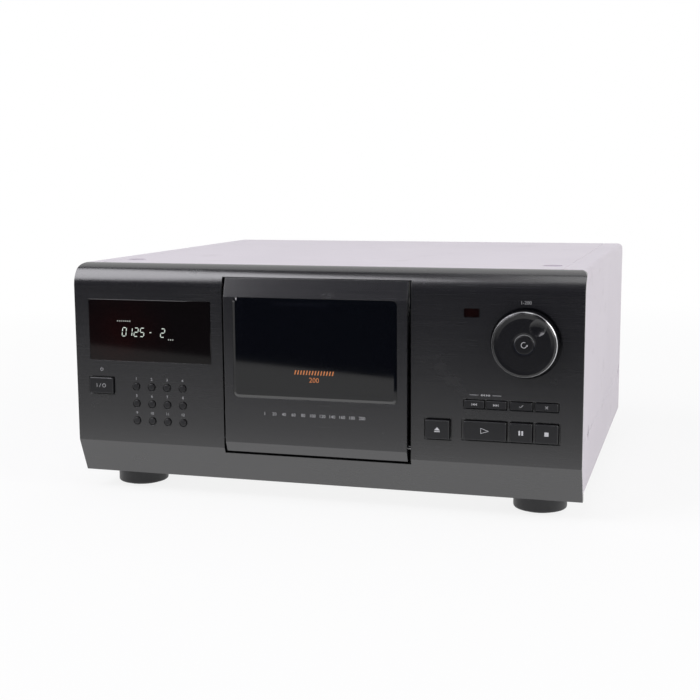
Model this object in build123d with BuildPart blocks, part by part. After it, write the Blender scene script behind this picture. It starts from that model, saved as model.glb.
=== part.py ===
"""A carousel changer for 200 compact discs, in millimetres.

+X is to the right of someone who faces the front, +Y runs from the front to the back and +Z is up. The
origin lies on the surface that the feet stand on, at the middle of the whole outline. Heights called h are
counted from the bottom edge of the front panel, and up() turns them into Z.
"""
import os
from math import atan2, cos, degrees, hypot, pi, radians, sin, tan

from build123d import *

# ---------------------------------------------------------------- driving dimensions: the cabinet
CASE_WIDTH = 430.0            # the full width of a hi-fi component
OVERALL_DEPTH = 400.0         # jog dial to phono jacks
PANEL_HEIGHT = 181.5          # front panel, bottom edge to top edge
FOOT_CLEARANCE = 15.5         # the surface to the front panel's bottom edge
DIAL_PROUD = 12.0             # the jog dial stands this far out of the flat face
JACK_PROUD = 3.0              # the phono jacks stand this far out of the cover's rear edge
REAR_RECESS = 5.0             # the rear panel lies this far inside the cover's rear edge
SHEET = 0.8                   # steel sheet of the top cover
PAN_SHEET = 1.2               # steel sheet of the chassis pan and the rear panel
SEAM = 0.3                    # gap between two casings that are screwed together
RUNNING_GAP = 0.3             # gap between pieces that move past each other
SHAFT_GAP = 0.06              # radial gap of a pin in its hole

# the front panel's section: a lower slope, the flat face and a rolled top
LOWER_CREASE_H = 29.0
UPPER_CREASE_H = 163.0
LOWER_SETBACK = 12.0          # how far the bottom edge lies behind the flat face
TOP_SETBACK = 17.0            # how far the top edge lies behind the flat face
TOP_BULGE = 4.6               # how far the rolled top stands out of its chord
PANEL_WALL = 2.5
PANEL_LIP = 2.6               # the panel's edge that shows in front of the cover's sides

# the folded top cover
COVER_BEND = 5.0              # outer radius of its long bends
COVER_SIDE_H = 6.5            # lower edge of its sides
TOP_CREASE_INSET = 19.3       # the top's crease, from the side of the case
SIDE_CREASE_H = 48.6          # the crease along each side
CREASE_STEP = 0.5             # how far each crease steps the sheet
CREASE_RUN = 1.6              # the width of that step
DIMPLE_RADIUS = 6.8           # the screw dimples in the sides
DIMPLE_FLOOR = 4.4            # the radius of their flat floor
DIMPLE_DEPTH = 1.6
SCREW_RADIUS = 1.5
SCREW_HEAD = (3.2, 1.4)       # radius and height
SCREW_LENGTH = 8.0
SCREW_SETBACKS = (47.0, 368.0)  # the side screws, behind the flat face
STACK_RADIUS = 8.2            # the round recesses in the top
STACK_DEPTH = 1.0
STACK_SETBACK = 56.0          # behind the flat face
STACK_X = 183.0
RELIEF_RADIUS = 1.4           # the relief holes at the ends of the top's creases

# feet
FOOT_RADIUS = 21.8
FOOT_X = 177.5
FRONT_FOOT_SETBACK = 46.0     # behind the flat face
REAR_FOOT_INSET = 46.0        # in front of the cover's rear edge
FOOT_GROOVE = 1.2
FOOT_PAD_RADIUS = 17.0

# ---------------------------------------------------------------- driving dimensions: the front
OPENING_HALF = 80.0           # the door opening
OPENING_H = (24.7, 172.0)
TUNNEL_WALL = 2.0
DOOR_HALF = 77.4
DOOR_H = (27.0, 171.6)
DOOR_CREASES_H = (35.2, 156.3)
DOOR_LOWER_SETBACK = 3.4
DOOR_PROUD = 3.0              # its flat face stands out of the panel's
DOOR_TOP_SETBACK = 5.0
DOOR_DEPTH = 10.0
DOOR_WALL = 2.5
WINDOW_SIZE = (138.6, 82.4)   # the door's smoked window
WINDOW_H = 114.9
WINDOW_CORNER = 4.0
WINDOW_SINK = 1.2
WINDOW_PROUD = 0.8
WINDOW_BEVEL = 2.2            # the width of its sloping rim
WINDOW_LEDGE = 2.5            # how much of the window's rim rests on the door
HINGE_SETBACK = 6.5           # the door's hinge axis, behind the flat face
HINGE_H = 37.2
HINGE_PIN_RADIUS = 2.0
HINGE_PIN_LENGTH = 6.4
HINGE_BOSS_RADIUS = 4.6

DISPLAY_SIZE = (111.2, 52.2)
DISPLAY_AT = (-146.1, 125.4)
LENS_PROUD = 0.3              # the small windows stand this far out of the face
LENS_FLANGE = 1.2
SENSOR_SIZE = (11.7, 6.5)
SENSOR_AT = (128.2, 148.2)
LENS_GAP = 0.15               # a window in its hole in the panel

DIAL_AT = (170.8, 125.9)
DIAL_RADIUS = 25.5
DIAL_WELL_GAP = 2.0
DIAL_WELL_DEPTH = 5.0
DIAL_LIP_RADIUS = 9.4
ENTER_RADIUS = 7.0
ENTER_PROUD = 0.5             # above the dial's face
DIMPLE_FINGER = (10.1, 13.2)  # the finger dish on the dial, from its centre
DISH_RADIUS = 6.3
DISH_DEPTH = 2.0

BUTTON_GAP = 0.25             # a button in its hole
BUTTON_FLANGE = 1.2
BUTTON_TRAVEL = 0.8
SWITCH_HEIGHT = 3.2
# name: x, h, width, height, how far it stands out of the flat face
KEYS = {
    "power_button": (-191.4, 77.7, 22.0, 13.4, 2.2),
    "open_button": (102.0, 55.2, 19.1, 15.1, 3.4),
    "play_button": (139.8, 55.8, 33.6, 14.8, 2.4),
    "pause_button": (168.0, 55.8, 17.4, 14.8, 2.4),
    "stop_button": (187.8, 55.8, 17.8, 14.8, 2.4),
    "skip_back_button": (131.0, 76.5, 15.9, 6.2, 1.3),
    "skip_forward_button": (148.3, 76.5, 15.9, 6.2, 1.3),
    "check_button": (167.8, 76.5, 17.3, 6.2, 1.3),
    "clear_button": (187.4, 76.5, 17.8, 6.2, 1.3),
}
# shallow wells round the keys: x range, h range, depth
WELLS = [
    ((91.0, 113.0), (46.4, 64.0), 1.2),
    ((120.8, 198.2), (47.2, 64.4), 1.2),
    ((122.2, 157.1), (72.6, 80.4), 0.7),
    ((158.3, 177.3), (72.6, 80.4), 0.7),
    ((177.7, 197.1), (72.6, 80.4), 0.7),
    ((-203.4, -179.4), (70.0, 85.4), 0.7),
]
MODE_COLUMNS = 4
MODE_ROWS = 3
MODE_PITCH = (14.2, 14.6)
MODE_FIRST = (-159.4, 77.8)   # the top left one
MODE_RADIUS = 2.7
MODE_PROUD = 1.0
MODE_WELL_RADIUS = 3.6
MODE_WELL_DEPTH = 0.6

# ---------------------------------------------------------------- driving dimensions: the inside
SLOTS = 200
CAROUSEL_RADIUS = 178.0
CAROUSEL_Y = 8.0              # the carousel's axis
CAROUSEL_FLOOR_Z = 57.0       # what the discs stand on
FLOOR_THICK = 3.0
CAROUSEL_BORE = 64.0
OUTER_FINS = 20.0             # the outer fins' length along the radius
OUTER_FIN_HEIGHT = 42.0
OUTER_SLOT = 2.4
INNER_FINS_AT = 70.0
INNER_FINS = 11.0
INNER_FIN_HEIGHT = 34.0
INNER_SLOT = 1.4
COMB_STRIP = 3.0              # thickness of the strip that carries a comb's fins
OUTER_COMBS = 20              # how many combs make up the outer ring of fins
INNER_COMBS = 10
DISC_RADIUS = 60.0
GEAR_MODULE = 1.5
RING_TEETH = 96
PINION_TEETH = 16
GEAR_FACE = 9.0
BACKLASH = 0.5                # share of the module taken off each tooth
PINION_ANGLE = 146.25         # where the pinion meets the ring gear, from +X
HUB_WALL = 4.0
RAIL_RADIUS = 150.0
RAIL_WALL = 4.0
BASE_THICK = 2.0

# the playing mechanism, in the carousel's bore; depths are counted from the disc's plane
SPINDLE_Z = CAROUSEL_FLOOR_Z + DISC_RADIUS + 1.0
DISC_THICK = 1.2
FRAME_HALF = 38.0
FRAME_WALL = 3.0
FRAME_TOP_Z = 184.0
FRAME_FRONT = -32.0
FRAME_BACK = 31.0
PICKUP_PLATE = (10.0, 12.5)
PLATTER_RADIUS = 14.0
CONE_RADIUS = 7.4
MOTOR_RADIUS = 10.0
MOTOR_DEPTH = 12.0
SPINDLE_RADIUS = 1.0
SLED_START = 24.0             # the lens below the spindle with the sled at its inner end
SLED_TRAVEL = 33.0
SLED_HALF = (21.0, 6.0)
SLED_DEPTHS = (13.2, 22.0)
ROD_RADIUS = 1.5
ROD_X = 17.0
ROD_DEPTH = 18.0
LENS_RADIUS = 3.5
CLAMP_RADIUS = 12.0
CLAMP_PIVOT = (-21.0, 168.0)  # depth and height of the clamp arm's pin
CLAMP_ARM_HALF = 9.0
CRADLE_HALF = 28.0
CRADLE_PIVOT_Z = 44.0
CRADLE_THICK = 9.0

# the door's damper
SECTOR_TEETH = 32
DAMPER_TEETH = 10
DAMPER_MODULE = 1.0
DAMPER_GEAR_FACE = (-74.5, -71.5)
DAMPER_ANGLE = 75.0           # of the damper's gear about the hinge, up from the way to the back
DAMPER_BODY = (7.0, 8.0)      # radius and length
DAMPER_SHAFT = 1.5
SECTOR_SPAN = (-13.0, 93.0)   # the sector's ends with the door shut

# the back
JACK_AT = (122.0, 66.0)       # the upper phono jack: x and height
JACK_PITCH = 14.0
JACK_RADIUS = 4.15
JACK_LENGTH = REAR_RECESS + JACK_PROUD
JACK_BLOCK = 11.0
CONTROL_AT = (150.0, 66.0)
CONTROL_BORE = 1.8
CONTROL_DEPTH = 12.0
OPTICAL_AT = (178.0, 59.0)
OPTICAL_SIZE = (13.0, 11.0)
INLET_AT = (-176.0, 66.0)
INLET_SIZE = (24.0, 16.0)
INLET_DEPTH = 18.0

# ---------------------------------------------------------------- worked out from those
FACE_Y = -OVERALL_DEPTH / 2 + DIAL_PROUD
REAR_Y = OVERALL_DEPTH / 2 - JACK_PROUD
PANEL_BACK_Y = FACE_Y + TOP_SETBACK
COVER_FRONT_Y = PANEL_BACK_Y + SEAM
TOP_Z = FOOT_CLEARANCE + PANEL_HEIGHT
PAN_BOTTOM_Z = FOOT_CLEARANCE
PAN_FLOOR_Z = PAN_BOTTOM_Z + PAN_SHEET
SIDE_X = CASE_WIDTH / 2
PAN_X = SIDE_X - SHEET - DIMPLE_DEPTH - SEAM
BACK_PLATE_Y = REAR_Y - REAR_RECESS - PAN_SHEET
END_X = SIDE_X - SHEET - CREASE_STEP - SEAM
BOARD_Y = FACE_Y + PANEL_WALL + 9.0
BOARD_THICK = 1.6
GEAR_TOP_Z = CAROUSEL_FLOOR_Z - FLOOR_THICK


def up(h):
    """A height above the front panel's bottom edge, as Z."""
    return FOOT_CLEARANCE + h


HINGE_Y = FACE_Y + HINGE_SETBACK
HINGE_Z = up(HINGE_H)


# ---------------------------------------------------------------- helpers
def front_plane(y):
    """A sketch plane across the case at this depth: x to the right, z up, extruding towards the front."""
    return Plane.XZ.offset(-y)


def block(x, y, z, mode=Mode.ADD):
    """A box between three (low, high) pairs."""
    with Locations(((x[0] + x[1]) / 2, (y[0] + y[1]) / 2, (z[0] + z[1]) / 2)):
        Box(x[1] - x[0], y[1] - y[0], z[1] - z[0], mode=mode)


def plate_xz(centre, size, y, corner=0.0, mode=Mode.ADD):
    """A plate that faces the front, centred at (x, z), between two depths, with rounded corners."""
    with BuildSketch(front_plane(y[1])) as outline:
        with Locations(centre):
            if corner:
                RectangleRounded(size[0], size[1], corner)
            else:
                Rectangle(size[0], size[1])
    extrude(outline.sketch, amount=y[1] - y[0], mode=mode)


def post_y(x, z, radius, y, mode=Mode.ADD):
    """A round bar along Y."""
    with BuildSketch(front_plane(y[1])) as outline:
        with Locations((x, z)):
            Circle(radius)
    extrude(outline.sketch, amount=y[1] - y[0], mode=mode)


def post_z(x, y, radius, z, mode=Mode.ADD):
    """A round bar along Z."""
    with BuildSketch(Plane.XY.offset(z[0])) as outline:
        with Locations((x, y)):
            Circle(radius)
    extrude(outline.sketch, amount=z[1] - z[0], mode=mode)


def post_x(y, z, radius, x, mode=Mode.ADD):
    """A round bar along X."""
    with BuildSketch(Plane.YZ.offset(x[0])) as outline:
        with Locations((y, z)):
            Circle(radius)
    extrude(outline.sketch, amount=x[1] - x[0], mode=mode)


def gear_outline(teeth, module, turn=0.0):
    """The points of a straight-flanked spur gear about the origin, its first tooth at angle turn."""
    pitch_radius = module * teeth / 2
    tip, root = pitch_radius + 0.85 * module, pitch_radius - 1.2 * module
    half = pi * module / 4 - BACKLASH * module / 4
    lean = tan(radians(20))
    points = []
    for k in range(teeth):
        middle = radians(turn) + 2 * pi * k / teeth
        for radius, side in ((root, -1), (tip, -1), (tip, 1), (root, 1)):
            width = half - (radius - pitch_radius) * lean
            angle = middle + side * width / pitch_radius
            points.append((radius * cos(angle), radius * sin(angle)))
    return points


def finish(part, name):
    """Names a finished piece and writes its file."""
    part.part.label = name
    export_step(part.part, f"parts/{name}.step")


os.makedirs("parts", exist_ok=True)


# ---------------------------------------------------------------- front panel
def panel_section(x, back_y, inset=0.0, floor_z=None):
    """The front panel's outline seen from its end, as a face at x.

    It is closed at back_y and drawn in by inset, and what lies below floor_z is left out.
    """
    lower = (FACE_Y + LOWER_SETBACK, FOOT_CLEARANCE)
    crease_low, crease_high = (FACE_Y, up(LOWER_CREASE_H)), (FACE_Y, up(UPPER_CREASE_H))
    top = (PANEL_BACK_Y, TOP_Z)
    run, rise = top[0] - crease_high[0], top[1] - crease_high[1]
    chord = hypot(run, rise)
    bulge = (
        (crease_high[0] + top[0]) / 2 - TOP_BULGE * rise / chord,
        (crease_high[1] + top[1]) / 2 + TOP_BULGE * run / chord,
    )
    with BuildSketch(Plane.YZ.offset(x)) as section:
        with BuildLine():
            Polyline(lower, crease_low, crease_high)
            ThreePointArc(crease_high, bulge, top)
            Polyline(top, (back_y, TOP_Z), (back_y, FOOT_CLEARANCE), lower)
        make_face()
        if inset:
            offset(amount=-inset, kind=Kind.INTERSECTION, mode=Mode.REPLACE)
        if floor_z:
            with Locations((0, floor_z - TOP_Z)):
                Rectangle(3 * OVERALL_DEPTH, 2 * TOP_Z, mode=Mode.SUBTRACT)
    return section.sketch


def front_outline(low, high, y):
    """The case seen from the front, between two heights, with its upper corners rounded."""
    with BuildSketch(front_plane(y)) as outline:
        with Locations((0, (low + high) / 2)):
            Rectangle(CASE_WIDTH, high - low)
        fillet(outline.vertices().group_by(Axis.Y)[-1], COVER_BEND)
    return outline.sketch


DIAL_X, DIAL_Z = DIAL_AT[0], up(DIAL_AT[1])
WELL_RADIUS = DIAL_RADIUS + DIAL_WELL_GAP
SLEEVE_RADIUS = DIAL_LIP_RADIUS
BOSS_RADIUS = SLEEVE_RADIUS + 2.6
MODE_BUTTONS = [
    (MODE_FIRST[0] + column * MODE_PITCH[0], up(MODE_FIRST[1] - row * MODE_PITCH[1]))
    for row in range(MODE_ROWS)
    for column in range(MODE_COLUMNS)
]
OPENING_MIDDLE = up(sum(OPENING_H) / 2)
OPENING_TALL = OPENING_H[1] - OPENING_H[0]
GEAR_DISTANCE = DAMPER_MODULE * (SECTOR_TEETH + DAMPER_TEETH) / 2
DAMPER_Y = HINGE_Y + GEAR_DISTANCE * cos(radians(DAMPER_ANGLE))
DAMPER_Z = HINGE_Z + GEAR_DISTANCE * sin(radians(DAMPER_ANGLE))
DAMPER_BODY_X = (-OPENING_HALF - TUNNEL_WALL - DAMPER_BODY[1], -OPENING_HALF - TUNNEL_WALL)
SHADE = 0.01                  # lets a cut pass just beyond a face

with BuildPart() as front_panel:
    extrude(panel_section(-SIDE_X, PANEL_BACK_Y + SHADE), amount=CASE_WIDTH)
    extrude(front_outline(FOOT_CLEARANCE, TOP_Z, PANEL_BACK_Y), amount=OVERALL_DEPTH, mode=Mode.INTERSECT)
    inner_end = END_X - PANEL_WALL
    extrude(panel_section(-inner_end, PANEL_BACK_Y + 2 * PANEL_WALL, PANEL_WALL), amount=2 * inner_end,
            mode=Mode.SUBTRACT)
    # the tunnel behind the door opening, and its hinge bosses
    tunnel_size = (2 * (OPENING_HALF + TUNNEL_WALL), OPENING_TALL + 2 * TUNNEL_WALL)
    plate_xz((0, OPENING_MIDDLE), tunnel_size, (FACE_Y + TOP_SETBACK / 2, PANEL_BACK_Y))
    for side in (-1, 1):
        reach = sorted((side * OPENING_HALF, side * (DOOR_HALF + HINGE_PIN_LENGTH + TUNNEL_WALL)))
        post_x(HINGE_Y, HINGE_Z, HINGE_BOSS_RADIUS, reach)
        wall = sorted((side * OPENING_HALF, side * (OPENING_HALF + TUNNEL_WALL)))
        block(wall, (FACE_Y + PANEL_WALL, PANEL_BACK_Y), (OPENING_MIDDLE - OPENING_TALL / 2, up(UPPER_CREASE_H)))
    # the round well behind the jog dial
    post_y(DIAL_X, DIAL_Z, WELL_RADIUS + TUNNEL_WALL, (FACE_Y + 0.5, FACE_Y + DIAL_WELL_DEPTH + TUNNEL_WALL))
    # what is cut through it
    plate_xz((0, OPENING_MIDDLE), (2 * OPENING_HALF, OPENING_TALL), (FACE_Y - 1, PANEL_BACK_Y + 1),
             mode=Mode.SUBTRACT)
    pin_reach = DOOR_HALF + HINGE_PIN_LENGTH + SEAM
    post_x(HINGE_Y, HINGE_Z, HINGE_PIN_RADIUS + SHAFT_GAP, (-pin_reach, pin_reach), mode=Mode.SUBTRACT)
    post_x(DAMPER_Y, DAMPER_Z, DAMPER_SHAFT + RUNNING_GAP, (-OPENING_HALF - 2 * TUNNEL_WALL, -OPENING_HALF + 1),
           mode=Mode.SUBTRACT)
    post_y(DIAL_X, DIAL_Z, WELL_RADIUS, (FACE_Y - 1, FACE_Y + DIAL_WELL_DEPTH), mode=Mode.SUBTRACT)
    post_y(DIAL_X, DIAL_Z, BOSS_RADIUS + RUNNING_GAP, (FACE_Y, FACE_Y + 3 * DIAL_WELL_DEPTH),
           mode=Mode.SUBTRACT)
    for (x, h), size in ((DISPLAY_AT, DISPLAY_SIZE), (SENSOR_AT, SENSOR_SIZE)):
        hole = (size[0] + 2 * LENS_GAP, size[1] + 2 * LENS_GAP)
        plate_xz((x, up(h)), hole, (FACE_Y - 1, FACE_Y + 2 * PANEL_WALL), mode=Mode.SUBTRACT)
    for x_range, h_range, depth in WELLS:
        block(x_range, (FACE_Y - 1, FACE_Y + depth), (up(h_range[0]), up(h_range[1])), mode=Mode.SUBTRACT)
    for x, h, width, height, proud in KEYS.values():
        hole = (width + 2 * BUTTON_GAP, height + 2 * BUTTON_GAP)
        plate_xz((x, up(h)), hole, (FACE_Y - 1, FACE_Y + 2 * PANEL_WALL), mode=Mode.SUBTRACT)
    for x, z in MODE_BUTTONS:
        post_y(x, z, MODE_WELL_RADIUS, (FACE_Y - 1, FACE_Y + MODE_WELL_DEPTH), mode=Mode.SUBTRACT)
        post_y(x, z, MODE_RADIUS + BUTTON_GAP, (FACE_Y - 1, FACE_Y + 2 * PANEL_WALL), mode=Mode.SUBTRACT)
    # its ends step in behind the lip, where the cover's sides lie over them
    for x in (-SIDE_X - 1, END_X):
        step = panel_section(x, REAR_Y, PANEL_LIP, up(COVER_SIDE_H) - SEAM)
        extrude(step, amount=SIDE_X + 1 - END_X, mode=Mode.SUBTRACT)
finish(front_panel, "front_panel")

# ---------------------------------------------------------------- the door
DOOR_FACE_Y = FACE_Y - DOOR_PROUD
DOOR_BACK_Y = DOOR_FACE_Y + DOOR_DEPTH


def door_section(x, inset=0.0, back_y=DOOR_BACK_Y):
    """The door seen from its end, drawn in by inset, as a face at x."""
    low, high = up(DOOR_H[0]), up(DOOR_H[1])
    with BuildSketch(Plane.YZ.offset(x)) as section:
        with BuildLine():
            Polyline(
                (DOOR_FACE_Y + DOOR_LOWER_SETBACK, low),
                (DOOR_FACE_Y, up(DOOR_CREASES_H[0])),
                (DOOR_FACE_Y, up(DOOR_CREASES_H[1])),
                (DOOR_FACE_Y + DOOR_TOP_SETBACK, high),
                (back_y, high),
                (back_y, low),
                close=True,
            )
        make_face()
        if inset:
            offset(amount=-inset, kind=Kind.INTERSECTION, mode=Mode.REPLACE)
    return section.sketch


WINDOW_Z = up(WINDOW_H)
SIGHT = (WINDOW_SIZE[0] - 2 * WINDOW_LEDGE, WINDOW_SIZE[1] - 2 * WINDOW_LEDGE)
SEAT = (WINDOW_SIZE[0] + 2 * LENS_GAP, WINDOW_SIZE[1] + 2 * LENS_GAP)
PIN_INNER_X = DOOR_HALF - HINGE_PIN_LENGTH
SECTOR_TURN = DAMPER_ANGLE % (360 / SECTOR_TEETH)
SECTOR_REACH = 2 * DAMPER_MODULE * SECTOR_TEETH

with BuildPart() as front_door:
    extrude(door_section(-DOOR_HALF), amount=2 * DOOR_HALF)
    extrude(door_section(-DOOR_HALF + DOOR_WALL, DOOR_WALL, DOOR_BACK_Y + 2 * DOOR_WALL),
            amount=2 * (DOOR_HALF - DOOR_WALL), mode=Mode.SUBTRACT)
    # hinge hubs, with ribs that carry them to the door's face
    for side in (-1, 1):
        hub = sorted((side * PIN_INNER_X, side * DOOR_HALF))
        post_x(HINGE_Y, HINGE_Z, HINGE_BOSS_RADIUS, hub)
        block(hub, (DOOR_FACE_Y + DOOR_WALL / 2, HINGE_Y), (HINGE_Z - HINGE_BOSS_RADIUS, HINGE_Z + HINGE_BOSS_RADIUS))
    # the toothed sector that turns the damper
    with BuildSketch(Plane.YZ.offset(DAMPER_GEAR_FACE[0])):
        with Locations((HINGE_Y, HINGE_Z)):
            Polygon(*gear_outline(SECTOR_TEETH, DAMPER_MODULE, SECTOR_TURN), align=None)
            wedge = [(0, 0)]
            for angle in (SECTOR_SPAN[0], sum(SECTOR_SPAN) / 2, SECTOR_SPAN[1]):
                wedge.append((SECTOR_REACH * cos(radians(angle)), SECTOR_REACH * sin(radians(angle))))
            Polygon(*wedge, align=None, mode=Mode.INTERSECT)
            Circle(HINGE_BOSS_RADIUS)
    extrude(amount=DAMPER_GEAR_FACE[1] - DAMPER_GEAR_FACE[0])
    # the window's seat and sight opening, and the pins' holes
    plate_xz((0, WINDOW_Z), SIGHT, (DOOR_FACE_Y - 1, DOOR_FACE_Y + 2 * DOOR_WALL), WINDOW_CORNER, mode=Mode.SUBTRACT)
    plate_xz((0, WINDOW_Z), SEAT, (DOOR_FACE_Y - 1, DOOR_FACE_Y + WINDOW_SINK), WINDOW_CORNER, mode=Mode.SUBTRACT)
    post_x(HINGE_Y, HINGE_Z, HINGE_PIN_RADIUS, (-DOOR_HALF - 1, -PIN_INNER_X + 1), mode=Mode.SUBTRACT)
    post_x(HINGE_Y, HINGE_Z, HINGE_PIN_RADIUS, (PIN_INNER_X - 1, DOOR_HALF + 1), mode=Mode.SUBTRACT)
finish(front_door, "front_door")

with BuildPart() as door_window:
    plate_xz((0, WINDOW_Z), WINDOW_SIZE, (DOOR_FACE_Y, DOOR_FACE_Y + WINDOW_SINK), WINDOW_CORNER)
    with BuildSketch(front_plane(DOOR_FACE_Y)):
        with Locations((0, WINDOW_Z)):
            RectangleRounded(*WINDOW_SIZE, WINDOW_CORNER)
    extrude(amount=WINDOW_PROUD, taper=degrees(atan2(WINDOW_BEVEL, WINDOW_PROUD)))
finish(door_window, "door_window")

with BuildPart() as hinge_pins:
    for side in (-1, 1):
        reach = sorted((side * PIN_INNER_X, side * (DOOR_HALF + HINGE_PIN_LENGTH)))
        post_x(HINGE_Y, HINGE_Z, HINGE_PIN_RADIUS, reach)
finish(hinge_pins, "hinge_pins")

DAMPER_TURN = (DAMPER_ANGLE + 180 + 180 / DAMPER_TEETH) % (360 / DAMPER_TEETH)
with BuildPart() as damper_gear:
    with BuildSketch(Plane.YZ.offset(DAMPER_GEAR_FACE[0])):
        with Locations((DAMPER_Y, DAMPER_Z)):
            Polygon(*gear_outline(DAMPER_TEETH, DAMPER_MODULE, DAMPER_TURN), align=None)
    extrude(amount=DAMPER_GEAR_FACE[1] - DAMPER_GEAR_FACE[0])
    post_x(DAMPER_Y, DAMPER_Z, DAMPER_SHAFT, (DAMPER_BODY_X[0] + 2, DAMPER_GEAR_FACE[1]))
finish(damper_gear, "damper_gear")

with BuildPart() as door_damper:
    post_x(DAMPER_Y, DAMPER_Z, DAMPER_BODY[0], DAMPER_BODY_X)
    post_x(DAMPER_Y, DAMPER_Z, DAMPER_SHAFT + SHAFT_GAP, (DAMPER_BODY_X[0] + 1, DAMPER_BODY_X[1] + 1),
           mode=Mode.SUBTRACT)
finish(door_damper, "door_damper")


# ---------------------------------------------------------------- windows, dial and keys
def small_window(centre, size, tall_flange=2.0):
    """A window that fills its hole in the front panel, with a flange behind the panel's skin."""
    plate_xz(centre, size, (FACE_Y - LENS_PROUD, FACE_Y + PANEL_WALL))
    flange = (size[0] + 2 * tall_flange, size[1] + 2 * tall_flange)
    plate_xz(centre, flange, (FACE_Y + PANEL_WALL, FACE_Y + PANEL_WALL + LENS_FLANGE))


with BuildPart() as display_window:
    small_window((DISPLAY_AT[0], up(DISPLAY_AT[1])), DISPLAY_SIZE)
    chamfer(display_window.faces().sort_by(Axis.Y)[0].edges(), LENS_PROUD * 0.8)
finish(display_window, "display_window")

with BuildPart() as sensor_window:
    small_window((SENSOR_AT[0], up(SENSOR_AT[1])), SENSOR_SIZE)
finish(sensor_window, "sensor_window")

TUBE_MARGIN = (7.0, 8.0)
TUBE_FRONT = FACE_Y + PANEL_WALL + LENS_FLANGE + 0.8
with BuildPart() as display_tube:
    tube_size = (DISPLAY_SIZE[0] - 2 * TUBE_MARGIN[0], DISPLAY_SIZE[1] - 2 * TUBE_MARGIN[1])
    plate_xz((DISPLAY_AT[0], up(DISPLAY_AT[1])), tube_size, (TUBE_FRONT, BOARD_Y))
finish(display_tube, "display_tube")

SLEEVE_FRONT = FACE_Y - DIAL_PROUD + 5.5
SLEEVE_BACK = BOARD_Y - 3.5
ENTER_BORE = ENTER_RADIUS + BUTTON_GAP
DIAL_REST = FACE_Y + DIAL_WELL_DEPTH - RUNNING_GAP
DIAL_RIM = 2.6
DIAL_FACE_Y = FACE_Y - DIAL_PROUD + 0.8
SCOOP = (DISH_RADIUS ** 2 + DISH_DEPTH ** 2) / (2 * DISH_DEPTH)
with BuildPart() as dial:
    with BuildSketch(Plane.XY) as half:
        # radius and depth of the dial's section, spun about its own axis
        rim_y = FACE_Y - DIAL_PROUD
        with BuildLine():
            Polyline(
                (ENTER_BORE, DIAL_FACE_Y + 0.5),
                (SLEEVE_RADIUS, DIAL_FACE_Y),
                (DIAL_RADIUS - 2 * DIAL_RIM, DIAL_FACE_Y),
                (DIAL_RADIUS - DIAL_RIM, rim_y),
            )
            RadiusArc((DIAL_RADIUS - DIAL_RIM, rim_y), (DIAL_RADIUS, rim_y + DIAL_RIM), DIAL_RIM)
            Polyline(
                (DIAL_RADIUS, rim_y + DIAL_RIM),
                (DIAL_RADIUS, DIAL_REST),
                (BOSS_RADIUS, DIAL_REST),
                (BOSS_RADIUS, SLEEVE_BACK - RUNNING_GAP),
                (SLEEVE_RADIUS + SHAFT_GAP, SLEEVE_BACK - RUNNING_GAP),
                (SLEEVE_RADIUS + SHAFT_GAP, SLEEVE_FRONT - RUNNING_GAP),
                (ENTER_BORE, SLEEVE_FRONT - RUNNING_GAP),
                (ENTER_BORE, DIAL_FACE_Y + 0.5),
            )
        make_face()
    revolve(axis=Axis.Y)
    # the finger dish
    with Locations((DIMPLE_FINGER[0], DIAL_FACE_Y + DISH_DEPTH - SCOOP, DIMPLE_FINGER[1])):
        Sphere(SCOOP, mode=Mode.SUBTRACT)
dial.part = Pos(DIAL_X, 0, DIAL_Z) * dial.part
finish(dial, "dial")

SWITCH_TOP_Y = BOARD_Y - SWITCH_HEIGHT
KEY_END_Y = SWITCH_TOP_Y - BUTTON_TRAVEL - RUNNING_GAP
FLANGE_Y = FACE_Y + PANEL_WALL + RUNNING_GAP
with BuildPart() as enter_button:
    post_y(DIAL_X, DIAL_Z, ENTER_RADIUS, (rim_y + 0.1, SLEEVE_FRONT + 3.0))
    fillet(enter_button.faces().sort_by(Axis.Y)[0].edges(), 0.6)
    post_y(DIAL_X, DIAL_Z, 2.0, (SLEEVE_FRONT, KEY_END_Y))
finish(enter_button, "enter_button")

KEY_CHAMFER = 0.6
KEY_CORNER = 1.0
KEY_STEM = 1.6
for name, (x, h, width, height, proud) in KEYS.items():
    with BuildPart() as key:
        plate_xz((x, up(h)), (width, height), (FACE_Y - proud, FLANGE_Y), KEY_CORNER)
        chamfer(key.faces().sort_by(Axis.Y)[0].edges(), min(KEY_CHAMFER, proud / 2))
        plate_xz((x, up(h)), (width - 1, height + 2 * KEY_STEM), (FLANGE_Y, FLANGE_Y + BUTTON_FLANGE))
        post_y(x, up(h), KEY_STEM, (FLANGE_Y, KEY_END_Y))
    finish(key, name)

for number, (x, z) in enumerate(MODE_BUTTONS, 1):
    with BuildPart() as key:
        post_y(x, z, MODE_RADIUS, (FACE_Y - MODE_PROUD, FLANGE_Y))
        fillet(key.faces().sort_by(Axis.Y)[0].edges(), 0.7)
        post_y(x, z, MODE_RADIUS + KEY_STEM, (FLANGE_Y, FLANGE_Y + BUTTON_FLANGE))
        post_y(x, z, KEY_STEM, (FLANGE_Y, KEY_END_Y))
    finish(key, f"mode_button_{number}")

SWITCH_SIZE = 6.0
LEFT_SWITCHES = MODE_BUTTONS + [(KEYS["power_button"][0], up(KEYS["power_button"][1]))]
RIGHT_SWITCHES = [(x, up(h)) for name, (x, h, w, t, proud) in KEYS.items() if name != "power_button"]
BOARD_X = 208.0
LEFT_BOARD = ((-BOARD_X, -92.0), (up(38.0), up(158.0)))
RIGHT_BOARD = ((88.0, BOARD_X), (up(38.0), up(158.0)))


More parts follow.
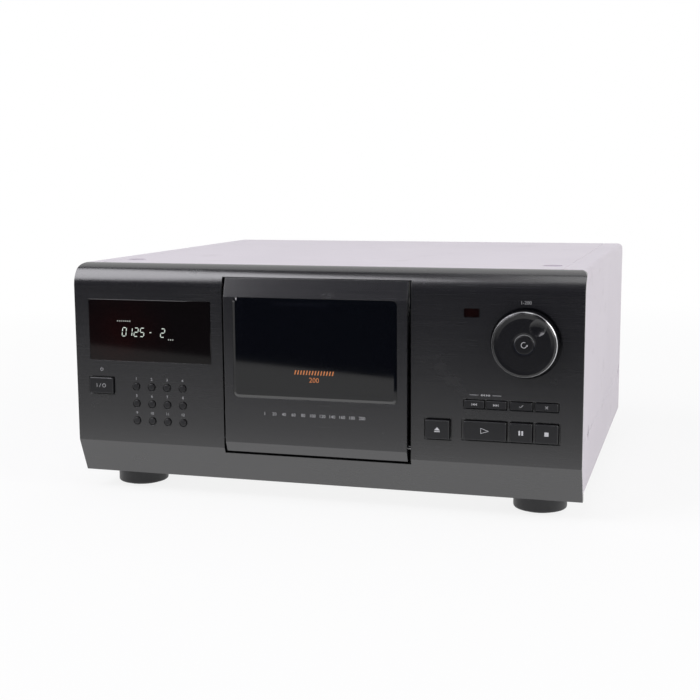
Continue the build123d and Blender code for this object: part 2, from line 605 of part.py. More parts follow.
def switch_group(places):
    """Push switches on the front of a board, each with its round plunger."""
    for x, z in places:
        plate_xz((x, z), (SWITCH_SIZE, SWITCH_SIZE), (SWITCH_TOP_Y + 1.0, BOARD_Y))
        post_y(x, z, KEY_STEM, (SWITCH_TOP_Y, SWITCH_TOP_Y + 1.5))


with BuildPart() as key_switches:
    switch_group(LEFT_SWITCHES + RIGHT_SWITCHES)
finish(key_switches, "key_switches")

with BuildPart() as control_boards:
    for x_range, z_range in (LEFT_BOARD, RIGHT_BOARD):
        block(x_range, (BOARD_Y, BOARD_Y + BOARD_THICK), z_range)
    # the remote eye behind its window
    plate_xz((SENSOR_AT[0], up(SENSOR_AT[1])), (7.0, 6.0), (FACE_Y + PANEL_WALL + 2 * LENS_FLANGE, BOARD_Y))
finish(control_boards, "control_boards")

with BuildPart() as dial_encoder:
    post_y(DIAL_X, DIAL_Z, BOSS_RADIUS + 2.0, (SLEEVE_BACK, BOARD_Y))
    post_y(DIAL_X, DIAL_Z, SLEEVE_RADIUS, (SLEEVE_FRONT, SLEEVE_BACK))
    post_y(DIAL_X, DIAL_Z, ENTER_BORE, (SLEEVE_FRONT - 1, SWITCH_TOP_Y + 1), mode=Mode.SUBTRACT)
    post_y(DIAL_X, DIAL_Z, KEY_STEM, (SWITCH_TOP_Y, SWITCH_TOP_Y + 2))
finish(dial_encoder, "dial_encoder")


# ---------------------------------------------------------------- top cover
def cover_outline(low, inset, y):
    """The cover's outside seen from the front, with its creases, drawn in by inset."""
    dent = [(-CREASE_RUN / 2, SHADE), (0, -CREASE_STEP), (CREASE_RUN / 2, SHADE)]
    with BuildSketch(front_plane(y)) as outline:
        with Locations((0, (low + TOP_Z) / 2)):
            Rectangle(CASE_WIDTH, TOP_Z - low)
        fillet(outline.vertices().group_by(Axis.Y)[-1], COVER_BEND)
        creases = [(SIDE_X, up(SIDE_CREASE_H), -90), (-SIDE_X, up(SIDE_CREASE_H), 90)]
        creases += [(side * (SIDE_X - TOP_CREASE_INSET), TOP_Z, 0) for side in (-1, 1)]
        with Locations(*[Location((x, z, 0), (0, 0, turn)) for x, z, turn in creases]):
            Polygon(*dent, align=None, mode=Mode.SUBTRACT)
        if inset:
            offset(amount=-inset, mode=Mode.REPLACE)
    return outline.sketch


COVER_LOW_Z = up(COVER_SIDE_H)
COVER_REACH_Y = FACE_Y + PANEL_LIP - 1
SCREW_YS = [FACE_Y + setback for setback in SCREW_SETBACKS]
SCREW_Z = up(SIDE_CREASE_H)
STACK_Y = FACE_Y + STACK_SETBACK
with BuildPart() as top_cover:
    extrude(cover_outline(COVER_LOW_Z, 0, REAR_Y), amount=REAR_Y - COVER_REACH_Y)
    extrude(cover_outline(COVER_LOW_Z - 2 * COVER_BEND, SHEET, REAR_Y + 1), amount=REAR_Y + 2 - COVER_REACH_Y,
            mode=Mode.SUBTRACT)
    # its front edge follows the front panel's lip
    with BuildSketch(Plane.YZ.offset(-SIDE_X - 1)) as ahead:
        with Locations(((COVER_FRONT_Y - OVERALL_DEPTH / 2 - 1) - 2 * TOP_SETBACK, TOP_Z / 2)):
            Rectangle(OVERALL_DEPTH + 4 * TOP_SETBACK + 2, 2 * TOP_Z)
        with Locations((COVER_FRONT_Y + OVERALL_DEPTH / 2, TOP_Z / 2)):
            Rectangle(OVERALL_DEPTH, 3 * TOP_Z, mode=Mode.SUBTRACT)
    extrude(ahead.sketch - panel_section(-SIDE_X - 1, REAR_Y, PANEL_LIP + SEAM), amount=CASE_WIDTH + 2,
            mode=Mode.SUBTRACT)
    # the dished screw recesses in its sides
    for side in (-1, 1):
        for y in SCREW_YS:
            for depth, mode in ((SHEET, Mode.ADD), (0, Mode.SUBTRACT)):
                outer = Plane(origin=(side * (SIDE_X - depth), y, SCREW_Z), z_dir=(-side, 0, 0))
                with BuildSketch(outer) as rim:
                    Circle(DIMPLE_RADIUS)
                with BuildSketch(outer.offset(DIMPLE_DEPTH)) as floor:
                    Circle(DIMPLE_FLOOR)
                loft([rim.sketch.face(), floor.sketch.face()], mode=mode)
            reach = sorted((side * (SIDE_X + 1), side * (SIDE_X - 2 * SCREW_LENGTH)))
            post_x(y, SCREW_Z, SCREW_RADIUS + 0.2, reach, mode=Mode.SUBTRACT)
    # the round recesses in its top, and the relief holes at the creases' ends
    for side in (-1, 1):
        post_z(side * STACK_X, STACK_Y, STACK_RADIUS + SHEET, (TOP_Z - SHEET - STACK_DEPTH, TOP_Z - SHEET / 2))
        post_z(side * STACK_X, STACK_Y, STACK_RADIUS, (TOP_Z - STACK_DEPTH, TOP_Z + 1), mode=Mode.SUBTRACT)
        for y in (COVER_FRONT_Y + 3 * RELIEF_RADIUS, REAR_Y - TOP_SETBACK):
            post_z(side * (SIDE_X - TOP_CREASE_INSET), y, RELIEF_RADIUS, (TOP_Z - 3 * SHEET, TOP_Z + 1),
                   mode=Mode.SUBTRACT)
finish(top_cover, "top_cover")

# ---------------------------------------------------------------- chassis pan, feet and screws
PAN_FRONT_Y = COVER_FRONT_Y
PAN_FLANGE_Z = SCREW_Z + 2 * DIMPLE_RADIUS
FOOT_YS = (FACE_Y + FRONT_FOOT_SETBACK, REAR_Y - REAR_FOOT_INSET)
FOOT_PLACES = [(side * FOOT_X, y) for side in (-1, 1) for y in FOOT_YS]
FOOT_RECESS = (4.8, 6.0)          # the moulding recess in a foot's underside, radius and height
FOOT_STUD = (2.5, 3.1, 2.4)       # the stud that snaps into the pan: neck radius, barb radius, barb height
VENT_SIZE = (40.0, 3.0)
VENT_PITCH = 9.0
VENT_COUNT = 6
with BuildPart() as chassis_pan:
    block((-PAN_X, PAN_X), (PAN_FRONT_Y, BACK_PLATE_Y), (PAN_BOTTOM_Z, PAN_FLOOR_Z))
    for side in (-1, 1):
        flange = sorted((side * PAN_X, side * (PAN_X - PAN_SHEET)))
        block(flange, (PAN_FRONT_Y, BACK_PLATE_Y), (PAN_BOTTOM_Z, PAN_FLANGE_Z))
        for y in SCREW_YS:
            post_x(y, SCREW_Z, SCREW_RADIUS, sorted((side * SIDE_X, side * (PAN_X - 3))), mode=Mode.SUBTRACT)
    block((-PAN_X, PAN_X), (PAN_FRONT_Y, PAN_FRONT_Y + PAN_SHEET), (PAN_BOTTOM_Z, PAN_FLOOR_Z + 2 * FOOT_RECESS[0]))
    for x, y in FOOT_PLACES:
        post_z(x, y, FOOT_STUD[0] + SHAFT_GAP, (PAN_BOTTOM_Z - 1, PAN_FLOOR_Z + 1), mode=Mode.SUBTRACT)
    for side in (-1, 1):
        for row in range(VENT_COUNT):
            y = -(VENT_COUNT - 1) * VENT_PITCH / 2 + row * VENT_PITCH
            with BuildSketch(Plane.XY.offset(PAN_BOTTOM_Z - 1)) as vents:
                with Locations((side * FOOT_X, y)):
                    SlotOverall(*VENT_SIZE)
            extrude(vents.sketch, amount=4 * PAN_SHEET, mode=Mode.SUBTRACT)
finish(chassis_pan, "chassis_pan")

with BuildPart() as feet:
    for x, y in FOOT_PLACES:
        post_z(x, y, FOOT_RADIUS, (1.0, PAN_BOTTOM_Z))
    fillet(feet.edges().group_by(Axis.Z)[0], 2.0)
    for x, y in FOOT_PLACES:
        groove_z = PAN_BOTTOM_Z - 3 * FOOT_GROOVE
        with BuildSketch(Plane.XY.offset(groove_z)) as ring:
            with Locations((x, y)):
                Circle(FOOT_RADIUS + 1)
                Circle(FOOT_RADIUS - FOOT_GROOVE, mode=Mode.SUBTRACT)
        extrude(ring.sketch, amount=FOOT_GROOVE, mode=Mode.SUBTRACT)
        post_z(x, y, FOOT_RECESS[0], (0, FOOT_RECESS[1]), mode=Mode.SUBTRACT)
        post_z(x, y, FOOT_STUD[0], (PAN_BOTTOM_Z, PAN_FLOOR_Z))
        with BuildSketch(Plane.XY.offset(PAN_FLOOR_Z)) as barb:
            with Locations((x, y)):
                Circle(FOOT_STUD[1])
        extrude(barb.sketch, amount=FOOT_STUD[2], taper=20)
finish(feet, "feet")

with BuildPart() as foot_pads:
    for x, y in FOOT_PLACES:
        post_z(x, y, FOOT_PAD_RADIUS, (0, 1.0))
        post_z(x, y, FOOT_RECESS[0], (-1, 2), mode=Mode.SUBTRACT)
finish(foot_pads, "foot_pads")

with BuildPart() as cover_screws:
    for side in (-1, 1):
        seat_x = SIDE_X - DIMPLE_DEPTH
        for y in SCREW_YS:
            post_x(y, SCREW_Z, SCREW_HEAD[0], sorted((side * seat_x, side * (seat_x + SCREW_HEAD[1]))))
            post_x(y, SCREW_Z, SCREW_RADIUS, sorted((side * seat_x, side * (seat_x - SCREW_LENGTH))))
            top_x = side * (seat_x + SCREW_HEAD[1])
            for size in ((4.0, 0.9), (0.9, 4.0)):
                block(sorted((top_x, top_x - side * 0.8)), (y - size[0] / 2, y + size[0] / 2),
                      (SCREW_Z - size[1] / 2, SCREW_Z + size[1] / 2), mode=Mode.SUBTRACT)
finish(cover_screws, "cover_screws")

# ---------------------------------------------------------------- rear panel and its sockets
PLATE_Y = (BACK_PLATE_Y, BACK_PLATE_Y + PAN_SHEET)
PLATE_TOP = TOP_Z - SHEET - CREASE_STEP - SEAM
PLATE_X = PAN_X - SEAM
JACKS = [(JACK_AT[0], up(JACK_AT[1]) - JACK_PITCH * k) for k in range(2)]
CONTROLS = [(CONTROL_AT[0], up(CONTROL_AT[1]) - JACK_PITCH * k) for k in range(2)]
OPTICAL = (OPTICAL_AT[0], up(OPTICAL_AT[1]))
INLET = (INLET_AT[0], up(INLET_AT[1]))
REAR_VENT = (70.0, 3.2)
REAR_SCREWS = [(x, PLATE_TOP - 7.0) for x in (-150.0, 0.0, 150.0)]
LEDGE = 12.0
with BuildPart() as rear_panel:
    plate_xz((0, (PAN_BOTTOM_Z + PLATE_TOP) / 2), (2 * PLATE_X, PLATE_TOP - PAN_BOTTOM_Z), PLATE_Y)
    # the flange that stiffens its top
    block((-PLATE_X + COVER_BEND, PLATE_X - COVER_BEND), (PLATE_Y[0] - LEDGE, PLATE_Y[1]),
          (PLATE_TOP - PAN_SHEET, PLATE_TOP))
    for column in (-1, 1):
        for row in range(VENT_COUNT):
            with BuildSketch(front_plane(PLATE_Y[1] + 1)) as vents:
                with Locations((column * 2 * REAR_VENT[0], up(OPENING_H[1]) - 18 - row * VENT_PITCH)):
                    SlotOverall(*REAR_VENT)
            extrude(vents.sketch, amount=3 * PAN_SHEET, mode=Mode.SUBTRACT)
    for x, z in JACKS:
        post_y(x, z, JACK_RADIUS + 1.6, (PLATE_Y[0] - 1, PLATE_Y[1] + 1), mode=Mode.SUBTRACT)
    for x, z in CONTROLS:
        post_y(x, z, CONTROL_BORE + 1.8, (PLATE_Y[0] - 1, PLATE_Y[1] + 1), mode=Mode.SUBTRACT)
    plate_xz(OPTICAL, OPTICAL_SIZE, (PLATE_Y[0] - 1, PLATE_Y[1] + 1), 0.8, mode=Mode.SUBTRACT)
    plate_xz(INLET, INLET_SIZE, (PLATE_Y[0] - 1, PLATE_Y[1] + 1), 1.0, mode=Mode.SUBTRACT)
    # its upper corners clear the cover's bends
    for side in (-1, 1):
        corner = sorted((side * PLATE_X, side * (PLATE_X - COVER_BEND)))
        block(corner, (PLATE_Y[0] - 1, PLATE_Y[1] + 1), (PLATE_TOP - COVER_BEND, PLATE_TOP + 1), mode=Mode.SUBTRACT)
finish(rear_panel, "rear_panel")

with BuildPart() as phono_jacks:
    for x, z in JACKS:
        plate_xz((x, z), (JACK_BLOCK, JACK_BLOCK), (PLATE_Y[0] - JACK_BLOCK, PLATE_Y[0]))
        post_y(x, z, JACK_RADIUS + 1.5, (PLATE_Y[0], PLATE_Y[1]))
        post_y(x, z, JACK_RADIUS, (PLATE_Y[1], PLATE_Y[1] + JACK_LENGTH))
        post_y(x, z, JACK_RADIUS - 0.7, (PLATE_Y[1] + 0.5, PLATE_Y[1] + JACK_LENGTH + 1), mode=Mode.SUBTRACT)
        post_y(x, z, 2.6, (PLATE_Y[1], PLATE_Y[1] + JACK_LENGTH - 0.5))
        post_y(x, z, 1.65, (PLATE_Y[1] - 5, PLATE_Y[1] + JACK_LENGTH + 1), mode=Mode.SUBTRACT)
finish(phono_jacks, "phono_jacks")

with BuildPart() as control_jacks:
    for x, z in CONTROLS:
        plate_xz((x, z), (JACK_BLOCK, JACK_BLOCK), (PLATE_Y[0] - CONTROL_DEPTH - 2, PLATE_Y[0]))
        post_y(x, z, CONTROL_BORE + 1.7, (PLATE_Y[0], PLATE_Y[1] + 0.8))
        post_y(x, z, CONTROL_BORE, (PLATE_Y[1] + 0.8 - CONTROL_DEPTH, PLATE_Y[1] + 2), mode=Mode.SUBTRACT)
finish(control_jacks, "control_jacks")

with BuildPart() as optical_jack:
    plate_xz(OPTICAL, (OPTICAL_SIZE[0] + 2, OPTICAL_SIZE[1] + 2), (PLATE_Y[0] - JACK_BLOCK, PLATE_Y[0]))
    plate_xz(OPTICAL, (OPTICAL_SIZE[0] - 0.3, OPTICAL_SIZE[1] - 0.3), (PLATE_Y[0], PLATE_Y[1] + 0.8), 0.7)
    plate_xz(OPTICAL, (8.2, 7.2), (PLATE_Y[1] - 5.5, PLATE_Y[1] + 2), 0.6, mode=Mode.SUBTRACT)
finish(optical_jack, "optical_jack")

INLET_PIN = 1.15
with BuildPart() as mains_inlet:
    plate_xz(INLET, (INLET_SIZE[0] + 5, INLET_SIZE[1] + 5), (PLATE_Y[0] - 2, PLATE_Y[0]), 1.0)
    plate_xz(INLET, (INLET_SIZE[0] - 0.3, INLET_SIZE[1] - 0.3), (PLATE_Y[0] - INLET_DEPTH, PLATE_Y[1] + 1.0), 1.0)
    with BuildSketch(front_plane(PLATE_Y[1] + 2)) as socket:
        with Locations(INLET):
            SlotOverall(15.2, 8.2)
    extrude(socket.sketch, amount=12.0, mode=Mode.SUBTRACT)
    for side in (-1, 1):
        post_y(INLET[0] + side * 4.3, INLET[1], INLET_PIN, (PLATE_Y[1] - 11.0, PLATE_Y[1] - 2.0))
finish(mains_inlet, "mains_inlet")

# ---------------------------------------------------------------- transformer and main board
TRANSFORMER_LEGS = (3.5, 3.0)     # radius and height
TRANSFORMER = ((-206.0, -160.0), (136.0, 182.0), (PAN_FLOOR_Z + TRANSFORMER_LEGS[1], PAN_FLOOR_Z + 36.0))
with BuildPart() as transformer:
    (x_low, x_high), (y_low, y_high), (z_low, z_high) = TRANSFORMER
    block((x_low, x_high), (y_low, y_high), (z_low, z_low + 2.0))
    for x in (x_low + 5, x_high - 5):
        for y in (y_low + 5, y_high - 5):
            post_z(x, y, TRANSFORMER_LEGS[0], (PAN_FLOOR_Z, z_low))
    block((x_low + 4, x_high - 4), (y_low + 9, y_high - 9), (z_low + 2.0, z_high))
    block((x_low + 10, x_high - 10), (y_low + 1, y_high - 1), (z_low + 7.0, z_high - 5.0))
finish(transformer, "transformer")

BOARD_FOOT = 7.0
MAIN_BOARD = ((96.0, 206.0), (142.0, 186.0))
with BuildPart() as main_board:
    board_z = PAN_FLOOR_Z + BOARD_FOOT
    block(*MAIN_BOARD, (board_z, board_z + BOARD_THICK))
    for x in (MAIN_BOARD[0][0] + 5, MAIN_BOARD[0][1] - 5):
        for y in (MAIN_BOARD[1][0] + 5, MAIN_BOARD[1][1] - 5):
            post_z(x, y, 3.0, (PAN_FLOOR_Z, board_z))
    for x, y, size, height in ((124, 160, 16, 2.4), (150, 165, 10, 2.4), (176, 160, 20, 2.4)):
        block((x - size / 2, x + size / 2), (y - size / 2, y + size / 2),
              (board_z + BOARD_THICK, board_z + BOARD_THICK + height))
    for x in (136.0, 162.0, 192.0):
        post_z(x, 178.0, 4.0, (board_z + BOARD_THICK, board_z + BOARD_THICK + 12.0))
finish(main_board, "main_board")

# ---------------------------------------------------------------- carousel
FLOOR_Z = (CAROUSEL_FLOOR_Z - FLOOR_THICK, CAROUSEL_FLOOR_Z)
RING_PITCH = GEAR_MODULE * RING_TEETH / 2


def comb(inner, outer, slot, height, share):
    """One of a ring's combs: a strip that lies on the carousel's floor, and the fins that stand on it.

    It spans 1 / share of the ring, from the middle of one slot to the middle of another.
    """
    turn = 360 / share
    ends = [(outer * 2 * cos(radians(turn * side)), outer * 2 * sin(radians(turn * side))) for side in (0, 0.5, 1)]
    step = 360 / SLOTS
    for low, high, slots in (
        (FLOOR_Z[1], FLOOR_Z[1] + COMB_STRIP, [(0, SEAM), (turn, SEAM)]),
        (FLOOR_Z[1] + COMB_STRIP, FLOOR_Z[1] + height, [(step * k, slot) for k in range(SLOTS // share + 1)]),
    ):
        with BuildSketch(Plane.XY.offset(low)) as ring:
            Circle(outer)
            Circle(inner, mode=Mode.SUBTRACT)
            Polygon((0, 0), *ends, align=None, mode=Mode.INTERSECT)
            for angle, width in slots:
                with Locations(Location(((inner + outer) / 2 * cos(radians(angle)),
                                         (inner + outer) / 2 * sin(radians(angle)), 0), (0, 0, angle))):
                    Rectangle(outer - inner + 4, width, mode=Mode.SUBTRACT)
        extrude(ring.sketch, amount=high - low)


with BuildPart() as carousel:
    with BuildSketch(Plane.XY.offset(FLOOR_Z[0])):
        Circle(CAROUSEL_RADIUS)
        Circle(CAROUSEL_BORE, mode=Mode.SUBTRACT)
    extrude(amount=FLOOR_THICK)
    with BuildSketch(Plane.XY.offset(FLOOR_Z[0] - GEAR_FACE)):
        Polygon(*gear_outline(RING_TEETH, GEAR_MODULE), align=None)
        Circle(CAROUSEL_BORE, mode=Mode.SUBTRACT)
    extrude(amount=GEAR_FACE)
carousel.part = Pos(0, CAROUSEL_Y, 0) * carousel.part
finish(carousel, "carousel")

with BuildPart() as outer_comb:
    comb(CAROUSEL_RADIUS - OUTER_FINS, CAROUSEL_RADIUS, OUTER_SLOT, OUTER_FIN_HEIGHT, OUTER_COMBS)
with BuildPart() as inner_comb:
    comb(INNER_FINS_AT, INNER_FINS_AT + INNER_FINS, INNER_SLOT, INNER_FIN_HEIGHT, INNER_COMBS)
with BuildPart() as disc_combs:
    for one, count in ((outer_comb, OUTER_COMBS), (inner_comb, INNER_COMBS)):
        with PolarLocations(0, count):
            add(one.part)
disc_combs.part = Pos(0, CAROUSEL_Y, 0) * disc_combs.part
finish(disc_combs, "disc_combs")

BASE_Z = (PAN_FLOOR_Z, PAN_FLOOR_Z + BASE_THICK)
PINION_DISTANCE = GEAR_MODULE * (RING_TEETH + PINION_TEETH) / 2
PINION_X = PINION_DISTANCE * cos(radians(PINION_ANGLE))
PINION_Y = CAROUSEL_Y + PINION_DISTANCE * sin(radians(PINION_ANGLE))
GEAR_Z = (FLOOR_Z[0] - GEAR_FACE, FLOOR_Z[0])
HUB_RADIUS = CAROUSEL_BORE - SHAFT_GAP
with BuildPart() as carousel_base:
    for radius, inner, height in (
        (RAIL_RADIUS + RAIL_WALL, 0, BASE_Z[1] - BASE_Z[0]),
        (HUB_RADIUS, HUB_RADIUS - HUB_WALL, FLOOR_Z[1] - BASE_Z[0]),
        (RAIL_RADIUS + RAIL_WALL / 2, RAIL_RADIUS - RAIL_WALL / 2, FLOOR_Z[0] - RUNNING_GAP - BASE_Z[0]),
    ):
        with BuildSketch(Plane.XY.offset(BASE_Z[0])) as ring:
            with Locations((0, CAROUSEL_Y)):
                Circle(radius)
                if inner:
                    Circle(inner, mode=Mode.SUBTRACT)
        extrude(ring.sketch, amount=height)
finish(carousel_base, "carousel_base")

PINION_MOTOR_TOP = GEAR_Z[0] - 3.0
PINION_SHAFT = 1.5
with BuildPart() as carousel_pinion:
    with BuildSketch(Plane.XY.offset(GEAR_Z[0] + RUNNING_GAP)):
        with Locations((PINION_X, PINION_Y)):
            Polygon(*gear_outline(PINION_TEETH, GEAR_MODULE), align=None)
    extrude(amount=GEAR_FACE - 2 * RUNNING_GAP)
    post_z(PINION_X, PINION_Y, PINION_SHAFT, (PINION_MOTOR_TOP - 10.0, GEAR_Z[0] + RUNNING_GAP))
finish(carousel_pinion, "carousel_pinion")

with BuildPart() as carousel_motor:
    post_z(PINION_X, PINION_Y, 2 * MOTOR_RADIUS - 8.0, (BASE_Z[1], PINION_MOTOR_TOP))
    post_z(PINION_X, PINION_Y, PINION_SHAFT + SHAFT_GAP, (PINION_MOTOR_TOP - 10.5, PINION_MOTOR_TOP + 1),
           mode=Mode.SUBTRACT)
finish(carousel_motor, "carousel_motor")

# ---------------------------------------------------------------- playing mechanism
DISC_Y = CAROUSEL_Y
FRONT_WALL = (DISC_Y + FRAME_FRONT, DISC_Y + FRAME_FRONT + FRAME_WALL)
BACK_WALL = (DISC_Y + FRAME_BACK - FRAME_WALL, DISC_Y + FRAME_BACK)
FRAME_Z = (BASE_Z[1], FRAME_TOP_Z)
PIVOT_Y, PIVOT_Z = DISC_Y + CLAMP_PIVOT[0], CLAMP_PIVOT[1]
CLAMP_PIN = 1.5
EAR = (CLAMP_ARM_HALF + RUNNING_GAP, CLAMP_ARM_HALF + RUNNING_GAP + 3.0)
EAR_RADIUS = 4.5
CRADLE_SHAFT = 2.5
PLATE = (DISC_Y + PICKUP_PLATE[0], DISC_Y + PICKUP_PLATE[1])
MOTOR_Y = (PLATE[1], PLATE[1] + MOTOR_DEPTH)
SLED_Z = SPINDLE_Z - SLED_START
SLED_Y = (DISC_Y + SLED_DEPTHS[0], DISC_Y + SLED_DEPTHS[1])
ROD_Y = DISC_Y + ROD_DEPTH
ROD_Z = (SLED_Z - SLED_TRAVEL - SLED_HALF[1] - 8.0, SLED_Z + SLED_HALF[1] + 5.0)
with BuildPart() as mechanism_frame:
    block((-FRAME_HALF, FRAME_HALF), (FRONT_WALL[0], BACK_WALL[1]), (FRAME_Z[0], FRAME_Z[0] + FRAME_WALL))
    for wall in (FRONT_WALL, BACK_WALL):
        block((-FRAME_HALF, FRAME_HALF), wall, FRAME_Z)
    block((-FRAME_HALF, FRAME_HALF), (FRONT_WALL[0], BACK_WALL[1]), (FRAME_Z[1] - FRAME_WALL, FRAME_Z[1]))
    # the window that the clamp arm swings into, and its ears
    block((-CLAMP_RADIUS - 4, CLAMP_RADIUS + 4), (FRONT_WALL[0] - 1, FRONT_WALL[1] + 1),
          (SPINDLE_Z - CLAMP_RADIUS - 6.0, PIVOT_Z - EAR_RADIUS - 2), mode=Mode.SUBTRACT)
    for side in (-1, 1):
        ear = sorted((side * EAR[0], side * EAR[1]))
        post_x(PIVOT_Y, PIVOT_Z, EAR_RADIUS, ear)
        block(ear, (FRONT_WALL[1] - 1, PIVOT_Y), (PIVOT_Z - EAR_RADIUS, PIVOT_Z + EAR_RADIUS))
    post_x(PIVOT_Y, PIVOT_Z, CLAMP_PIN + SHAFT_GAP, (-EAR[1] - 1, EAR[1] + 1), mode=Mode.SUBTRACT)
    # the cradle's bearing and the openings that lighten the back wall
    post_y(0, CRADLE_PIVOT_Z, CRADLE_SHAFT + 3.0, (BACK_WALL[0] - 5.0, BACK_WALL[1]))
    post_y(0, CRADLE_PIVOT_Z, CRADLE_SHAFT + SHAFT_GAP, (BACK_WALL[0] - 6.0, BACK_WALL[1] + 1), mode=Mode.SUBTRACT)
    for side in (-1, 1):
        plate_xz((side * FRAME_HALF / 2, SPINDLE_Z + 36.0), (FRAME_HALF / 2, 30.0),
                 (BACK_WALL[0] - 1, BACK_WALL[1] + 1), 3.0, mode=Mode.SUBTRACT)
finish(mechanism_frame, "mechanism_frame")

PICKUP_HALF = 30.0
with BuildPart() as pickup_base:
    block((-PICKUP_HALF, PICKUP_HALF), PLATE, (ROD_Z[0] - 6.0, SPINDLE_Z + MOTOR_RADIUS + 6.0))
    block((-LENS_RADIUS - 3, LENS_RADIUS + 3), (PLATE[0] - 1, PLATE[1] + 1),
          (SLED_Z - SLED_TRAVEL - LENS_RADIUS - 3, SLED_Z + LENS_RADIUS + 3), mode=Mode.SUBTRACT)
    for z, radius in ((SPINDLE_Z, 3.0), (CRADLE_PIVOT_Z, CRADLE_SHAFT + 1.0)):
        post_y(0, z, radius, (PLATE[0] - 1, PLATE[1] + 1), mode=Mode.SUBTRACT)
    for side in (-1, 1):
        for low, high in ((ROD_Z[0] - 2.0, ROD_Z[0] + 3.0), (ROD_Z[1] - 3.0, ROD_Z[1] + 2.0)):
            block(sorted((side * (ROD_X - 3.5), side * (ROD_X + 3.5))), (PLATE[1], ROD_Y + 3.5), (low, high))
        for z in (ROD_Z[0] - 3.0, SPINDLE_Z + MOTOR_RADIUS):
            post_y(side * (PICKUP_HALF - 4), z, 2.5, (PLATE[1], BACK_WALL[0]))
        post_z(side * ROD_X, ROD_Y, ROD_RADIUS, ROD_Z, mode=Mode.SUBTRACT)
finish(pickup_base, "pickup_base")

with BuildPart() as guide_rods:
    for side in (-1, 1):
        post_z(side * ROD_X, ROD_Y, ROD_RADIUS, ROD_Z)
finish(guide_rods, "guide_rods")

SLED_BODY_Y = PLATE[1] + RUNNING_GAP
with BuildPart() as optical_sled:
    block((-SLED_HALF[0], SLED_HALF[0]), (SLED_BODY_Y, SLED_Y[1] + 1.0), (SLED_Z - SLED_HALF[1], SLED_Z + SLED_HALF[1]))
    post_y(0, SLED_Z, LENS_RADIUS + 1.5, (PLATE[0] - 1.5, SLED_BODY_Y))
    post_y(0, SLED_Z, LENS_RADIUS, (PLATE[0] - 2.3, PLATE[0] - 1.5))
    for side in (-1, 1):
        post_z(side * ROD_X, ROD_Y, ROD_RADIUS + SHAFT_GAP, (SLED_Z - 2 * SLED_HALF[1], SLED_Z + 2 * SLED_HALF[1]),
               mode=Mode.SUBTRACT)
finish(optical_sled, "optical_sled")

with BuildPart() as spindle_motor:
    post_y(0, SPINDLE_Z, MOTOR_RADIUS, MOTOR_Y)
    post_y(0, SPINDLE_Z, SPINDLE_RADIUS + SHAFT_GAP, (MOTOR_Y[0] - 1, MOTOR_Y[1] - 2), mode=Mode.SUBTRACT)
finish(spindle_motor, "spindle_motor")

CLAMP_PLAY = 0.4              # between the disc and what clamps it, on each side
PLATTER_FACE = DISC_Y + DISC_THICK / 2 + CLAMP_PLAY
PUCK_Y = (DISC_Y - 6.0, DISC_Y - DISC_THICK / 2 - CLAMP_PLAY)
with BuildPart() as platter:
    post_y(0, SPINDLE_Z, PLATTER_RADIUS, (PLATTER_FACE, PLATTER_FACE + 3.0))
    post_y(0, SPINDLE_Z, CONE_RADIUS, (PUCK_Y[1] + RUNNING_GAP, PLATTER_FACE))
    chamfer(platter.faces().sort_by(Axis.Y)[0].edges(), 0.8)
    post_y(0, SPINDLE_Z, SPINDLE_RADIUS, (PLATTER_FACE + 3.0, MOTOR_Y[1] - 3.0))
finish(platter, "platter")

ARM_Y = (PIVOT_Y - 1.2, PIVOT_Y + 1.2)
PUCK_NECK = 3.0
with BuildPart() as clamp_arm:
    block((-CLAMP_ARM_HALF, CLAMP_ARM_HALF), ARM_Y, (SPINDLE_Z - CLAMP_RADIUS, PIVOT_Z))
    post_x(PIVOT_Y, PIVOT_Z, EAR_RADIUS - 0.7, (-CLAMP_ARM_HALF, CLAMP_ARM_HALF))
    post_x(PIVOT_Y, PIVOT_Z, CLAMP_PIN, (-EAR[1], EAR[1]))
    post_y(0, SPINDLE_Z, PUCK_NECK, (ARM_Y[0], PUCK_Y[0]))
    post_y(0, SPINDLE_Z, CLAMP_RADIUS, PUCK_Y)
    fillet(clamp_arm.faces().sort_by(Axis.Y)[-1].edges(), 0.8)
finish(clamp_arm, "clamp_arm")

with BuildPart() as disc_cradle:
    low_z = CRADLE_PIVOT_Z - CRADLE_SHAFT - 2.0
    block((-CRADLE_HALF, CRADLE_HALF), (DISC_Y - CRADLE_THICK / 2, DISC_Y + CRADLE_THICK / 2),
          (low_z, SPINDLE_Z - DISC_RADIUS + 7.0))
    post_y(0, SPINDLE_Z, DISC_RADIUS + 0.6, (DISC_Y - CRADLE_THICK, DISC_Y + CRADLE_THICK), mode=Mode.SUBTRACT)
    for side in (-1, 1):
        with BuildSketch(front_plane(DISC_Y + CRADLE_THICK)) as corner:
            Polygon((side * CRADLE_HALF, CRADLE_PIVOT_Z + 9.0), (side * CRADLE_HALF, low_z),
                    (side * 2 * CRADLE_SHAFT, low_z), align=None)
        extrude(corner.sketch, amount=2 * CRADLE_THICK, mode=Mode.SUBTRACT)
    post_y(0, CRADLE_PIVOT_Z, CRADLE_SHAFT, (DISC_Y + CRADLE_THICK / 2, BACK_WALL[1]))
finish(disc_cradle, "disc_cradle")
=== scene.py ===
# %% [markdown]
# # A carousel changer for two hundred discs
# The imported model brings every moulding, key and sheet-metal part at its real place. This lesson dresses it:
# it sets up the camera and a small studio, gives each part its own finish, and adds what is printed on it.

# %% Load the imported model
import math

import bpy
import numpy as np
from mathutils import Matrix


